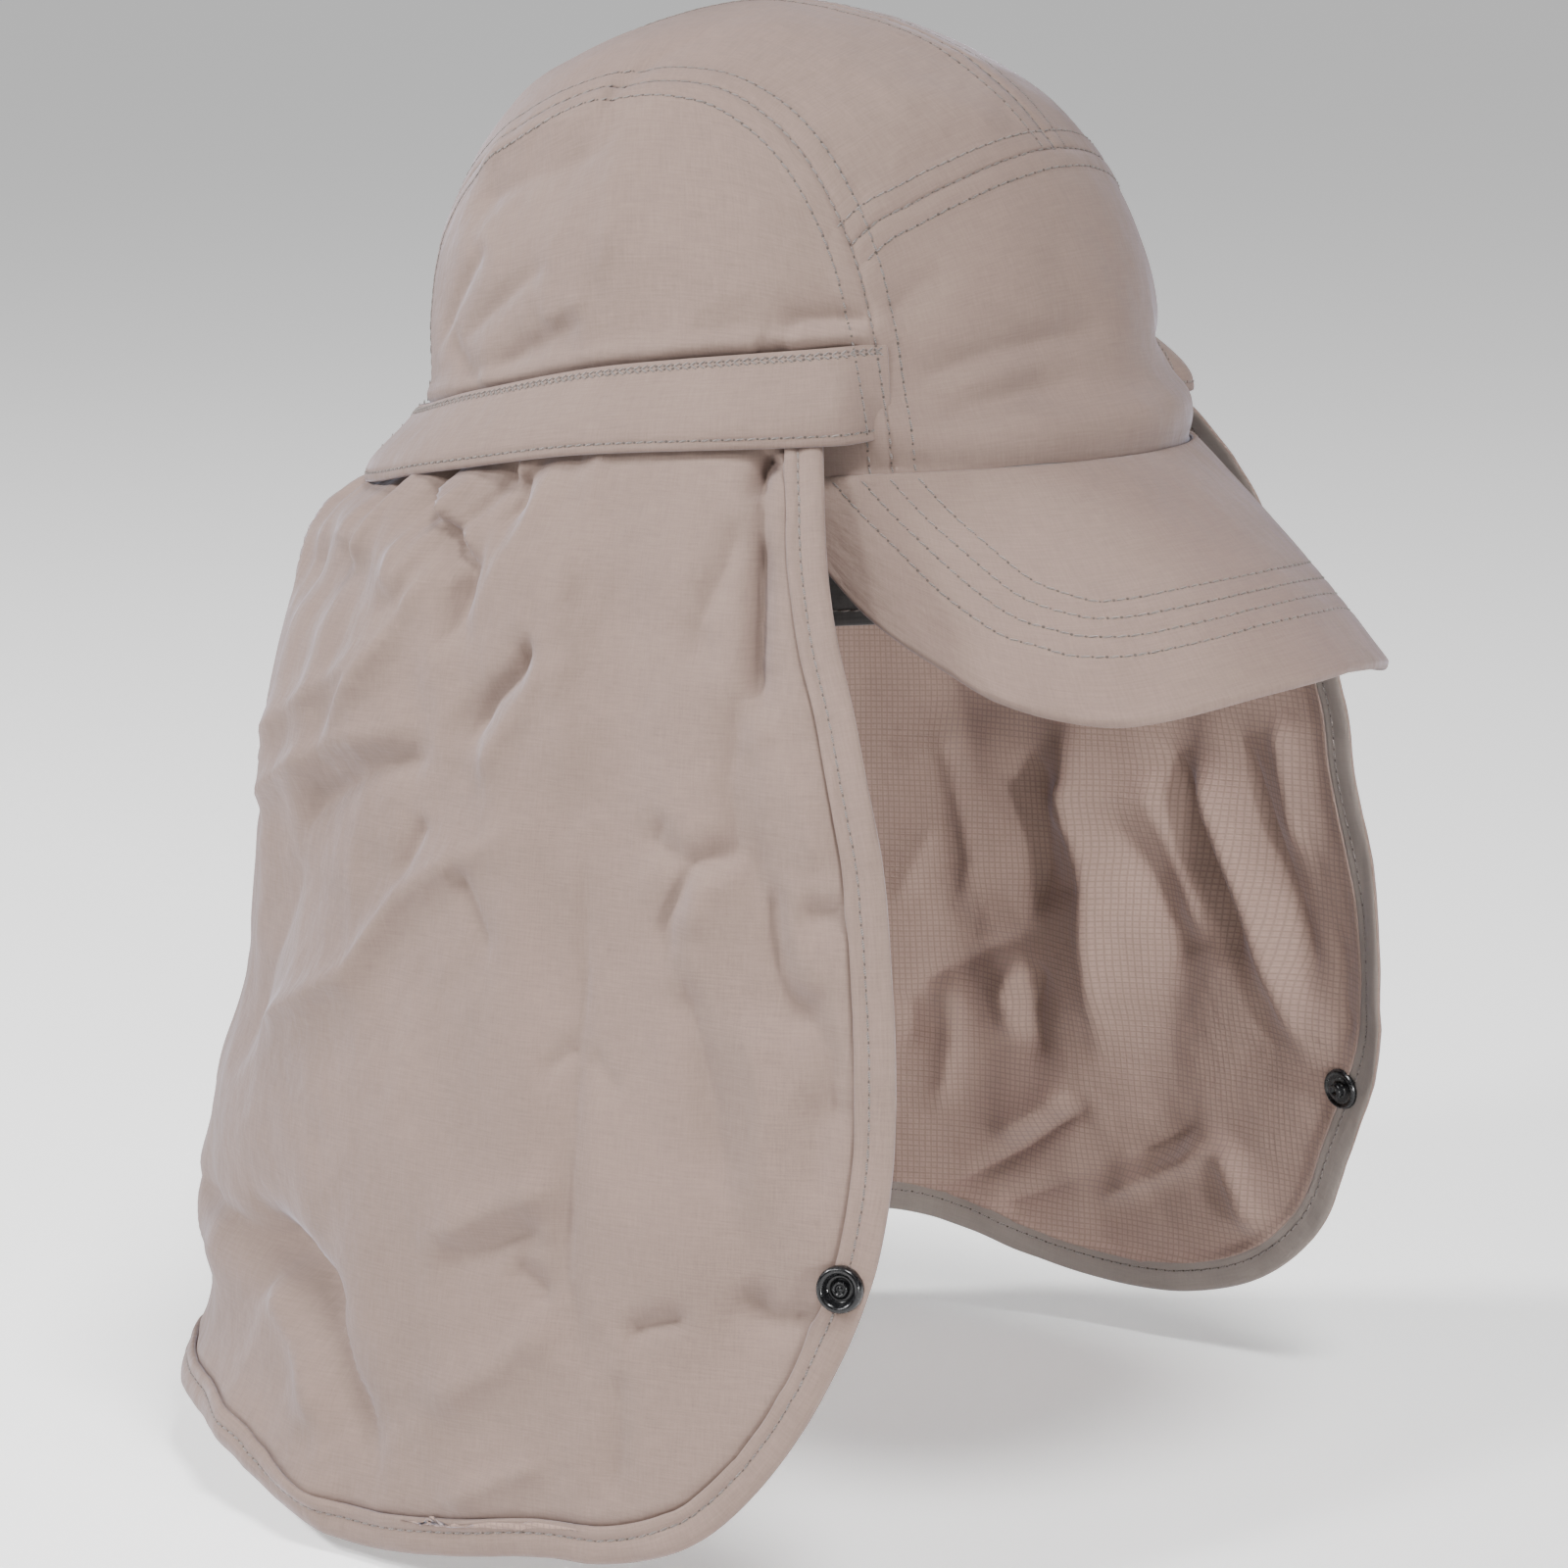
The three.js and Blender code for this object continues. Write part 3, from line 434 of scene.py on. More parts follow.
def grid_normals(points, centre_height):
    """Outward unit normals of a grid of points."""
    n = unit(np.cross(np.gradient(points, axis=0), np.gradient(points, axis=1)))
    flip = np.sum(n * (points - UP * centre_height), -1).mean() < 0
    return -n if flip else n


# Crown, read on a disc: its edge is the rim and its centre is the top
def rim_height(t):
    back = (1 - np.cos(t)) / 2
    return -RIM_SIDE_DIP * np.sin(t) ** 2 - RIM_BACK_DROP * back * back


def on_disc(angle, way):
    angle = np.radians(np.asarray(angle, float))
    return np.stack([(1 - way) * np.sin(angle), (1 - way) * np.cos(angle)], -1)


def crown(spot):
    p, q = spot[..., 0], spot[..., 1]
    t = np.arctan2(p, q)
    section = read(PROFILE, 1 - np.hypot(p, q))
    high, wide, back = section[..., 0], section[..., 1], section[..., 2]
    x = -HALF_W * wide * np.sin(t)
    y = HALF_L * back - HALF_L * wide * np.cos(t)
    return np.stack([x, y, CROWN_HEIGHT * high + rim_height(t) * (1 - high) ** 3], -1)


def mirrored(line):
    return lambda u: line(u) * MIRROR


seam = curve(on_disc(*np.array(SIDE_SEAM, float).T))
front_top = curve(on_disc(*np.array(FRONT_TOP, float).T))
SEAM_MEETS = seam(np.array([SEAM_JOIN]))[0]


def front_top_met(u):
    u = np.asarray(u, float)
    start = front_top(np.zeros(1))[0]
    return front_top(u) + (SEAM_MEETS - start) * ((1 - u) ** 4)[..., None]


def front_top_whole(u):
    u = np.asarray(u, float)
    right, left = front_top_met(np.clip(2 * u, 0, 1)), front_top_met(np.clip(2 - 2 * u, 0, 1))
    return np.where((u < 0.5)[..., None], right, left * MIRROR)


def rim_arc(low, high):
    return lambda u: on_disc(low + (high - low) * np.asarray(u, float), 0)


CENTRE_FROM = front_top_met(np.ones(1))[0, 1]


def centre_line(u):
    u = np.asarray(u, float)
    return np.stack([np.zeros_like(u), CENTRE_FROM + (-1 - CENTRE_FROM) * u], -1)


# Skirt surface of the flap: plan angle in degrees and drop below the front rim in mm
def in_plan(psi, radius, z):
    """Point at a plan angle in degrees, at a radius and a height."""
    a = np.radians(psi)
    return np.stack([-radius * np.sin(a), -radius * np.cos(a), z], -1)


def on_rim(t, z):
    return np.stack([-HALF_W * np.sin(t), -HALF_L * np.cos(t), z], -1)


def rim_outward(t, length_share=1.0):
    return unit(np.stack([-np.sin(t) * HALF_L * length_share, -np.cos(t) * HALF_W, 0 * t], -1))


def rim_radius(psi):
    psi = np.radians(psi)
    return 1 / np.hypot(np.sin(psi) / HALF_W, np.cos(psi) / HALF_L)


def band_edges(psi):
    return read(BAND_EDGE, psi) * FLAP_TUCK


def skirt_plain(psi, drop):
    """Skirt without its folds: angle, drop, share of the drop and radius."""
    psi, drop = np.broadcast_arrays(np.asarray(psi, float), np.asarray(drop, float))
    depth = drop + band_edges(psi)[..., 0] + FLAP_TUCK
    share = np.maximum(depth, 0) / FLAP_DROP
    rows = np.array([row[0] for row in FLARE])
    flares = np.stack([read(list(zip(FLARE_ANGLES, row[1:])), psi)[..., 0] for row in FLARE])
    slope = slopes(rows, flares)
    i, u, span = find_row(rows, share)

    def at(table, k):
        return np.take_along_axis(table, k[None], 0)[0]
    flare = between(u, span, at(flares, i), at(slope, i), at(flares, i + 1), at(slope, i + 1))
    return psi, drop, share, rim_radius(psi) + FLAP_FLARE * flare


def folds_of(psi, drop, share):
    """Folds, creases and gathers of the flap cloth in mm outward."""
    swell = np.zeros_like(psi)
    for top, low, start, end, wide, high in FOLDS:
        way = (share - start) / (end - start)
        line = top + (low - top) * way
        gone = smooth(start, start + 0.08, share) * (1 - smooth(start + (end - start) * 0.6, end, share))
        swell += high * gone * bell(psi - line, wide)
    swell *= smooth(0.02, 0.1, share)
    swell += read(SIDE_TRIM, drop)[..., 0] * bell(psi - SIDE_TRIM_TURN, SIDE_TRIM_SPREAD)
    shoulder = bell(psi - FAR_TRIM_TURN, FAR_TRIM_SPREAD) * bell(drop - FAR_TRIM_DROP, FAR_TRIM_REACH)
    swell -= FAR_TRIM * shoulder
    x = psi * EDGE_SCALE
    for line, width, height in CREASES:
        swell += crease(x, drop, [(a * EDGE_SCALE, d) for a, d in line], width, height)
    gather = 2.0 * noise(x, drop * 0.12, 9, 5) + 1.6 * ridges(x, drop * 0.2, 17, 6)
    gather = gather * smooth(0.0, 0.02, share) * np.exp(-share / 0.09)
    swell += gather * smooth(70, 100, psi) * smooth(300, 270, psi)
    crinkle = 0.8 * noise(x, drop, 34, 7) + 0.3 * noise(x + drop * 0.5, drop, 13, 8)
    crinkle += 0.55 * ridges(x + drop * 0.25, drop * 0.6, 27, 9) + 0.2 * ridges(x - drop * 0.4, drop, 12, 10)
    crinkle += 2.2 * noise(x, drop * 0.24, 44, 12) * away_from_front(psi, 56, 74)
    swell += smooth(0.02, 0.12, share) * crinkle
    return swell


def skirt(psi, drop):
    psi, drop, share, radius = skirt_plain(psi, drop)
    radius = radius + folds_of(psi, drop, share)
    return in_plan(psi, radius, -drop)


def skirt_slopes(psi, drop, step=0.5):
    along = (skirt(psi + step, drop) - skirt(psi - step, drop)) / (2 * step)
    down = (skirt(psi, drop + step) - skirt(psi, drop - step)) / (2 * step)
    normal = unit(np.cross(along, down))
    out = skirt(psi, drop) * FLAT
    return along, down, np.where(np.sum(normal * out, -1, keepdims=True) < 0, -normal, normal)


edge = curve([(psi * EDGE_SCALE, share * FLAP_DROP) for psi, share in FLAP_EDGE])


def inward(u, distance):
    """Spot of the skirt at a distance in from the outer edge, by its share of the edge's length."""
    u = np.asarray(u, float)
    spot = edge(u)
    psi, drop = spot[..., 0] / EDGE_SCALE, spot[..., 1]
    before, after = edge(np.maximum(u - 0.004, 0)), edge(np.minimum(u + 0.004, 1))
    along, down, normal = skirt_slopes(psi, drop)
    way = (after - before) / np.array([EDGE_SCALE, 1])
    tangent = unit(along * way[..., :1] + down * way[..., 1:])
    into = np.cross(tangent, normal)
    pp, dd, pd = np.sum(along ** 2, -1), np.sum(down ** 2, -1), np.sum(along * down, -1)
    wp, wd = np.sum(into * along, -1), np.sum(into * down, -1)
    det = pp * dd - pd * pd
    return psi + (wp * dd - wd * pd) / det * distance, drop + (wd * pp - wp * pd) / det * distance


INSIDE = 1 if inward(0.5, 1)[1] < edge(np.array([0.5]))[0, 1] else -1


# Closed meshes
def placed(name, data):
    """Object in the scene that holds the given data."""
    thing = bpy.data.objects.new(name, data)
    bpy.context.scene.collection.objects.link(thing)
    return thing


def make_mesh(name, points, faces, materials, spots=None, marks=None):
    """Mesh object from points in mm. Spots are cloth coordinates in mm, marks the material of each face."""
    mesh = bpy.data.meshes.new(name)
    mesh.from_pydata((np.asarray(points) * MM).tolist(), [], faces)
    mesh.polygons.foreach_set("use_smooth", np.ones(len(mesh.polygons), bool))
    for material in materials:
        mesh.materials.append(material)
    if marks is not None:
        mesh.polygons.foreach_set("material_index", np.asarray(marks, np.int32))
    if spots is not None:
        layer = mesh.uv_layers.new(name="cloth")
        layer.data.foreach_set("uv", np.asarray(spots, np.float32).reshape(-1))
    mesh.update()
    return placed(name, mesh)


def volume_of(points, faces):
    """Six times the volume inside closed faces, with its sign."""
    fans = np.array([(f[0], f[k], f[k + 1]) for f in faces for k in range(1, len(f) - 1)])
    a, b, c = np.asarray(points)[fans.T]
    return np.sum(a * np.cross(b, c))


def shell(name, outer, inner, cloth, materials, ring=False, lip=0.5):
    """Closed sheet between two grids of points, with rounded edges. A ring closes along the first axis."""
    across, along = outer.shape[:2]
    columns = across - 1 if ring else across
    ids = np.arange(columns * along).reshape(columns, along)
    if ring:
        ids = np.vstack([ids, ids[:1]])
        outer, inner = outer[:-1], inner[:-1]
    count = columns * along
    cloth_ids = np.arange(across * along).reshape(across, along)

    def quads(g):
        return np.stack([g[:-1, :-1], g[1:, :-1], g[1:, 1:], g[:-1, 1:]], -1).reshape(-1, 4)
    faces = [quads(ids), quads(ids)[:, ::-1] + count]
    spots = [quads(cloth_ids), quads(cloth_ids)[:, ::-1]]
    marks = [np.zeros(len(faces[0])), np.ones(len(faces[1]))]
    points = [outer.reshape(-1, 3), inner.reshape(-1, 3)]

    def around(g):
        if ring:
            return [g[:, 0], g[::-1, -1]]
        return [np.concatenate([g[:, 0], g[-1, 1:], g[-2::-1, -1], g[0, -2:0:-1], g[:1, 0]])]
    grow = np.zeros_like(outer)
    grow[:, 0] += unit(outer[:, 0] - outer[:, 1])
    grow[:, -1] += unit(outer[:, -1] - outer[:, -2])
    if not ring:
        grow[0] += unit(outer[0] - outer[1])
        grow[-1] += unit(outer[-1] - outer[-2])
    base = 2 * count
    for loop, cloth_loop in zip(around(ids), around(cloth_ids)):
        rim = loop[:-1]
        closed = np.concatenate([np.arange(len(rim)), [0]])
        top, low, out = points[0][rim], points[1][rim], unit(grow.reshape(-1, 3)[rim])
        wall = np.linalg.norm(top - low, axis=-1, keepdims=True)
        mids = [top * 0.8 + low * 0.2 + out * wall * lip * 0.7, (top + low) / 2 + out * wall * lip,
                top * 0.2 + low * 0.8 + out * wall * lip * 0.7]
        chain = [loop]
        for mid in mids:
            points.append(mid)
            chain.append(base + closed)
            base += len(rim)
        chain.append(loop + count)
        for a, b in zip(chain[:-1], chain[1:]):
            faces.append(np.stack([a[1:], a[:-1], b[:-1], b[1:]], -1))
            spots.append(np.stack([cloth_loop[1:], cloth_loop[:-1], cloth_loop[:-1], cloth_loop[1:]], -1))
            marks.append(np.zeros(len(faces[-1])))
    points = np.concatenate(points)
    faces = np.concatenate(faces).astype(int)
    corner = cloth.reshape(-1, 2)[np.concatenate(spots).reshape(-1)].reshape(-1, 4, 2)
    if volume_of(points, faces.tolist()) < 0:
        faces, corner = faces[:, ::-1], corner[:, ::-1]
    return make_mesh(name, points, faces.tolist(), materials, corner, np.concatenate(marks))


def way_along(line):
    """Length in mm from the start of a polyline to each of its points."""
    return np.concatenate([[0], np.cumsum(np.linalg.norm(np.diff(line, axis=0), axis=-1))])


def cloth_spots(points):
    """Cloth coordinates in mm of a grid: lengths measured along its middle lines."""
    across, along = points.shape[:2]
    u = way_along(points[:, along // 2])
    v = way_along(points[across // 2])
    return np.stack(np.meshgrid(u, v, indexing="ij"), -1)


def nearest(points, line):
    """Distance of each point to a polyline and the way along it, in mm."""
    flat = points.reshape(-1, 3)
    way = way_along(line)
    far, at = np.empty(len(flat)), np.empty(len(flat))
    for k in range(0, len(flat), 4000):
        some = flat[k:k + 4000, None] - line[None]
        d = np.einsum("ijk,ijk->ij", some, some)
        i = d.argmin(1)
        j = np.clip(i, 1, len(line) - 2)
        best = np.full(len(i), 1e9)
        s = way[i].copy()
        for a in (j - 1, j):
            seg = line[a + 1] - line[a]
            away = flat[k:k + 4000] - line[a]
            u = np.clip(np.sum(away * seg, -1) / np.maximum(np.sum(seg * seg, -1), 1e-9), 0, 1)
            dist = np.linalg.norm(away - u[:, None] * seg, axis=-1)
            closer = dist < best
            s = np.where(closer, way[a] + u * np.linalg.norm(seg, axis=-1), s)
            best = np.minimum(best, dist)
        far[k:k + 4000], at[k:k + 4000] = best, s
    return far.reshape(points.shape[:-1]), at.reshape(points.shape[:-1])


def keep(piece, node_names=()):
    """The finished piece rides on the cap and stands for its CAD nodes."""
    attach(piece, "root")
    if node_names:
        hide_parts(*node_names)
    return piece


def surface_of(pieces):
    """Search tree over the faces of finished pieces, in mm."""
    points, faces = [], []
    for piece in pieces:
        base = len(points)
        points += [tuple(v.co / MM) for v in piece.data.vertices]
        faces += [tuple(i + base for i in f.vertices) for f in piece.data.polygons]
    return BVHTree.FromPolygons(points, faces)


# Stitches, made by Geometry Nodes
def put(tree, kind, links=(), **settings):
    """Node with its settings and links. A link is (input name or number, value or output socket)."""
    node = tree.nodes.new(kind)
    for key, value in settings.items():
        setattr(node, key, value)
    for slot_name, value in links:
        if isinstance(slot_name, int):
            socket = node.inputs[slot_name]
        else:
            socket = next(s for s in node.inputs if s.name == slot_name and s.enabled)
        if isinstance(value, bpy.types.NodeSocket):
            tree.links.new(value, socket)
        else:
            socket.default_value = value
    return node


def result(node, name=None):
    return next(s for s in node.outputs if s.enabled and (name is None or s.name == name))


def stitch_tree():
    """Points with a way and an outward direction become short rounded stitches of thread."""
    tree = bpy.data.node_groups.new("stitch_row", "GeometryNodeTree")
    sockets = tree.interface
    sockets.new_socket("Row", in_out="INPUT", socket_type="NodeSocketGeometry")
    for label in ("Stitch Length", "Thread Width", "Thread Height", "Unevenness"):
        sockets.new_socket(label, in_out="INPUT", socket_type="NodeSocketFloat")
    sockets.new_socket("Seed", in_out="INPUT", socket_type="NodeSocketInt")
    sockets.new_socket("Thread", in_out="INPUT", socket_type="NodeSocketMaterial")
    sockets.new_socket("Stitches", in_out="OUTPUT", socket_type="NodeSocketGeometry")
    given = tree.nodes.new("NodeGroupInput").outputs
    size = put(tree, "ShaderNodeCombineXYZ", [("X", given["Stitch Length"]), ("Y", given["Thread Width"]),
                                              ("Z", given["Thread Height"])])
    bead = put(tree, "GeometryNodeMeshUVSphere", [("Segments", 6), ("Rings", 5), ("Radius", 0.5)])
    turned = put(tree, "GeometryNodeTransform", [("Geometry", result(bead, "Mesh")),
                                                 ("Rotation", (0, math.pi / 2, 0))])
    stitch = put(tree, "GeometryNodeTransform", [("Geometry", result(turned)), ("Scale", result(size))])
    along = put(tree, "GeometryNodeInputNamedAttribute", [("Name", "way")], data_type="FLOAT_VECTOR")
    out = put(tree, "GeometryNodeInputNamedAttribute", [("Name", "out")], data_type="FLOAT_VECTOR")
    first = put(tree, "FunctionNodeAlignRotationToVector", [("Vector", result(along, "Attribute"))], axis="X")
    second = put(tree, "FunctionNodeAlignRotationToVector",
                 [("Rotation", result(first)), ("Vector", result(out, "Attribute"))],
                 axis="Z", pivot_axis="X")
    low = put(tree, "ShaderNodeMath", [(0, 1.0), (1, given["Unevenness"])], operation="SUBTRACT")
    high = put(tree, "ShaderNodeMath", [(0, 1.0), (1, given["Unevenness"])], operation="ADD")
    uneven = put(tree, "FunctionNodeRandomValue", [("Min", result(low)), ("Max", result(high)),
                                                   ("Seed", given["Seed"])], data_type="FLOAT")
    rows = put(tree, "GeometryNodeInstanceOnPoints",
               [("Points", given["Row"]), ("Instance", result(stitch)), ("Rotation", result(second)),
                ("Scale", result(uneven))])
    real = put(tree, "GeometryNodeRealizeInstances", [("Geometry", result(rows))])
    soft = put(tree, "GeometryNodeSetShadeSmooth", [("Geometry", result(real))])
    done = put(tree, "GeometryNodeSetMaterial", [("Geometry", result(soft)), ("Material", given["Thread"])])
    tree.links.new(result(done), tree.nodes.new("NodeGroupOutput").inputs["Stitches"])
    return tree


STITCHES = stitch_tree()


def socket_id(tree, name):
    return next(s.identifier for s in tree.interface.items_tree if s.name == name and s.in_out == "INPUT")


def grow_stitches(name, spots, ways, outs, size, thread, seed, uneven=0.06):
    """Plain mesh of stitches at spots in mm."""
    mesh = bpy.data.meshes.new(name)
    mesh.from_pydata((np.asarray(spots) * MM).tolist(), [], [])
    for label, values in (("way", ways), ("out", outs)):
        data = mesh.attributes.new(label, "FLOAT_VECTOR", "POINT").data
        data.foreach_set("vector", np.asarray(values, np.float32).reshape(-1))
    seed_thing = placed(name, mesh)
    modifier = seed_thing.modifiers.new("stitches", "NODES")
    modifier.node_group = STITCHES
    length, width, height = size
    settings = {"Stitch Length": length * MM, "Thread Width": width * MM, "Thread Height": height * MM,
                "Unevenness": uneven, "Seed": seed, "Thread": thread}
    for label, value in settings.items():
        modifier[socket_id(STITCHES, label)] = value
    bpy.context.view_layer.update()
    live = seed_thing.evaluated_get(bpy.context.evaluated_depsgraph_get())
    plain = bpy.data.meshes.new_from_object(live)
    seed_thing.modifiers.remove(modifier)
    bpy.data.objects.remove(seed_thing)
    for label in [a.name for a in plain.attributes if a.name in ("way", "out")]:
        plain.attributes.remove(plain.attributes[label])
    return placed(name, plain)


def spaced(line, pitch, margin=0.0):
    """Points at an even pitch along a polyline, the directions there, and the points between them."""
    line = np.asarray(line, float)
    way = way_along(line)
    total = way[-1] - 2 * margin
    count = max(2, int(round(total / pitch)))
    at = margin + total * (np.arange(count) + 0.5) / count

    def spot(s):
        return np.stack([np.interp(s, way, line[:, k]) for k in range(3)], -1)
    return spot(at), unit(spot(at + 0.4) - spot(at - 0.4)), spot(at + pitch / 2)


def lay_on(tree, spots, outs, reach=14.0):
    """Drops spots from outside onto the surface: place and outward normal there."""
    places, normals = [], []
    for spot, out in zip(spots, outs):
        hit, normal, _, _ = tree.ray_cast(Vector(spot + out * reach), Vector(-out), reach * 2)
        if hit is None:
            hit, normal, _, _ = tree.find_nearest(Vector(spot))
        if normal.dot(Vector(out)) < 0:
            normal = -normal
        places.append(hit)
        normals.append(normal)
    return np.array(places, float), np.array(normals, float)


class Rows:
    """Collects rows of stitches on a surface and makes one piece of thread and one of dark beads of painted
    shade at the needle holes.
    """

    def __init__(self, tree):
        self.tree = tree
        self.stitches, self.hole_shades = [], []

    def add(self, line, outs, pitch=STITCH_PITCH, slant=0.12, margin=0.0):
        spots, ways, gaps = spaced(line, pitch, margin)
        line = np.asarray(line, float)
        key = np.argmin(np.linalg.norm(spots[:, None] - line[None], axis=-1), 1)
        out = np.asarray(outs)[key]
        places, normals = lay_on(self.tree, spots, out)
        side = unit(np.cross(normals, ways))
        self.stitches.append((places, unit(ways + side * slant), normals))
        places, normals = lay_on(self.tree, gaps, out)
        self.hole_shades.append((places, ways, normals))

    def make(self, name, size, seed):
        spots, ways, outs = (np.concatenate(c) for c in zip(*self.stitches))
        spots = spots + outs * size[2] * THREAD_RISE
        made = keep(grow_stitches(name, spots, ways, outs, size, THREAD, seed), ())
        spots, ways, outs = (np.concatenate(c) for c in zip(*self.hole_shades))
        # Dark beads between the stitches: painted shade of the needle holes
        keep(grow_stitches(name + "_holes", spots, ways, outs, HOLE_SHADE_SIZE, NEEDLE_HOLE_SHADE, seed + 1, 0.15), ())
        return made


# Materials
def shader(name, **sockets):
    material = bpy.data.materials.new(name)
    material.use_nodes = True
    tree = material.node_tree
    tree.nodes.clear()
    body = tree.nodes.new("ShaderNodeBsdfPrincipled")
    for key, value in sockets.items():
        body.inputs[key.replace("_", " ")].default_value = value
    out = tree.nodes.new("ShaderNodeOutputMaterial")
    tree.links.new(body.outputs["BSDF"], out.inputs["Surface"])
    return material, tree, body


def feed(tree, body, **sources):
    for key, source in sources.items():
        tree.links.new(source, body.inputs[key.replace("_", " ")])


def bumpy(tree, height, strength, distance, *more):
    links = [("Strength", strength), ("Distance", distance), ("Height", height), *more]
    return put(tree, "ShaderNodeBump", links).outputs[0]


def scaled(tree, vector, size):
    return result(put(tree, "ShaderNodeMapping", [("Vector", vector), ("Scale", size)]))


def grain(tree, vector, size, detail=2.0, rough=0.5):
    links = [("Vector", vector), ("Scale", size), ("Detail", detail), ("Roughness", rough)]
    return put(tree, "ShaderNodeTexNoise", links).outputs[0]


def ramp(tree, value, low, high, to_low=0.0, to_high=1.0):
    node = put(tree, "ShaderNodeMapRange", [("Value", value), ("From Min", low), ("From Max", high),
                                            ("To Min", to_low), ("To Max", to_high)])
    return result(node, "Result")


def maths(tree, kind, a, b=0.0):
    return put(tree, "ShaderNodeMath", [(0, a), (1, b)], operation=kind).outputs[0]


def blend_colours(tree, amount, first, second):
    node = put(tree, "ShaderNodeMix", data_type="RGBA")
    sockets = [s for s in node.inputs if s.enabled]
    for socket, value in zip(sockets, (amount, first, second)):
        if isinstance(value, bpy.types.NodeSocket):
            tree.links.new(value, socket)
        else:
            socket.default_value = value
    return next(s for s in node.outputs if s.enabled)


def sewn_cloth(name, light, dark, grid_depth=0.0, roughness=0.78):
    """Plain woven cloth: slubbed threads both ways, and a ripstop grid where there is one."""
    material, tree, body = shader(name, Roughness=roughness, Sheen_Weight=0.24, Sheen_Roughness=0.4,
                                  Sheen_Tint=(0.80, 0.82, 1.0, 1), Specular_IOR_Level=0.25)

    def mix(one, share, two, rest):
        return maths(tree, "ADD", maths(tree, "MULTIPLY", one, share), maths(tree, "MULTIPLY", two, rest))
    uv = put(tree, "ShaderNodeUVMap", uv_map="cloth").outputs[0]
    place = put(tree, "ShaderNodeTexCoord").outputs["Object"]
    weft = grain(tree, scaled(tree, uv, (0.11, 1.9, 1)), 1.0, 2.0, 0.6)
    warps = grain(tree, scaled(tree, uv, (1.9, 0.14, 1)), 1.0, 2.0, 0.6)
    fine = grain(tree, uv, 1.7, 1.0)
    broad = grain(tree, place, 22.0, 3.0)
    height = mixed = mix(mix(weft, 0.55, warps, 0.45), 1 - SPECKLE, fine, SPECKLE)
    shade = maths(tree, "ADD", ramp(tree, mixed, 0.33, 0.67, 0.0, 0.7), ramp(tree, broad, 0.3, 0.7, 0.0, 0.3))
    colour = blend_colours(tree, shade, (*dark, 1), (*light, 1))
    if grid_depth:
        split = put(tree, "ShaderNodeSeparateXYZ", [("Vector", uv)])
        lines = []
        for axis in ("X", "Y"):
            at = maths(tree, "FRACT", maths(tree, "DIVIDE", result(split, axis), RIPSTOP_PITCH))
            away = maths(tree, "ABSOLUTE", maths(tree, "SUBTRACT", at, 0.5))
            lines.append(ramp(tree, away, 0.30, 0.47))
        net = maths(tree, "MAXIMUM", *lines)
        line_colour = (*[c * 0.55 for c in dark], 1)
        colour = blend_colours(tree, maths(tree, "MULTIPLY", net, grid_depth), colour, line_colour)
        height = maths(tree, "ADD", mixed, maths(tree, "MULTIPLY", net, 0.6))
    crinkle = grain(tree, scaled(tree, uv, (0.075, 0.06, 1)), 1.0, 3.0, 0.5)
    crinkled = bumpy(tree, crinkle, 0.6, 0.0022)
    feed(tree, body, Base_Color=colour, Normal=bumpy(tree, height, 0.5, 0.00025, ("Normal", crinkled)),
         Roughness=ramp(tree, fine, 0.3, 0.7, roughness - 0.06, roughness + 0.06))
    return material


def moulded(name, colour, roughness):
    """Glossy moulded plastic with a faint unevenness."""
    material, tree, body = shader(name, Roughness=roughness, Coat_Weight=0.15, Coat_Roughness=0.2,
                                  Specular_IOR_Level=0.3)
    cloud = grain(tree, put(tree, "ShaderNodeTexCoord").outputs["Object"], 900.0, 3.0)
    colours = blend_colours(tree, ramp(tree, cloud, 0.3, 0.7), (*colour, 1), (*[c * 1.5 for c in colour], 1))
    feed(tree, body, Base_Color=colours, Normal=bumpy(tree, cloud, 0.08, 0.0001),
         Roughness=ramp(tree, cloud, 0.3, 0.7, roughness * 0.7, roughness * 1.4))
    return material


def twisted_thread(name, light, dark):
    """Sewing thread: fine twisted plies."""
    material, tree, body = shader(name, Roughness=0.6, Sheen_Weight=0.2, Specular_IOR_Level=0.3)
    place = put(tree, "ShaderNodeTexCoord").outputs["Object"]
    plies = put(tree, "ShaderNodeTexWave", [("Vector", place), ("Scale", 900.0), ("Distortion", 3.0)],
                wave_type="BANDS", bands_direction="DIAGONAL").outputs[1]
    cloud = grain(tree, place, 400.0)
    twist = ramp(tree, maths(tree, "MULTIPLY", plies, cloud), 0.1, 0.6)
    feed(tree, body, Base_Color=blend_colours(tree, twist, (*dark, 1), (*light, 1)),
         Roughness=ramp(tree, cloud, 0.3, 0.7, 0.52, 0.68), Normal=bumpy(tree, plies, 0.3, 0.0001))
    return material


# Colours are linear: the lighter and the darker threads
SUN_CLOTH = sewn_cloth("sun_cloth_outside", (0.212, 0.150, 0.124), (0.138, 0.096, 0.080))
LINING_SIDE = sewn_cloth("sun_cloth_inside", (0.33, 0.228, 0.188), (0.23, 0.158, 0.13), 0.42, 0.85)
HEM_FACING = sewn_cloth("hem_facing", (0.22, 0.187, 0.167), (0.175, 0.15, 0.134), roughness=0.85)
# Grey sweat tape: its colours are darkened well below its own grey with painted shade
TAPE_WITH_PAINTED_SHADE = sewn_cloth("sweat_tape", (0.085, 0.08, 0.078), (0.05, 0.047, 0.046), roughness=0.9)
THREAD = twisted_thread("sewing_thread", (0.215, 0.18, 0.165), (0.10, 0.085, 0.078))
# Dark beads at the needle holes: painted shade where the thread sinks into the cloth
NEEDLE_HOLE_SHADE = moulded("needle_hole_shade", (0.05, 0.04, 0.035), 0.8)
SNAP_BLACK = moulded("snap_black", (0.004, 0.004, 0.0045), 0.24)


# Crown
def line_on_crown(line, count=260):
    return crown(line(np.linspace(0, 1, count)))


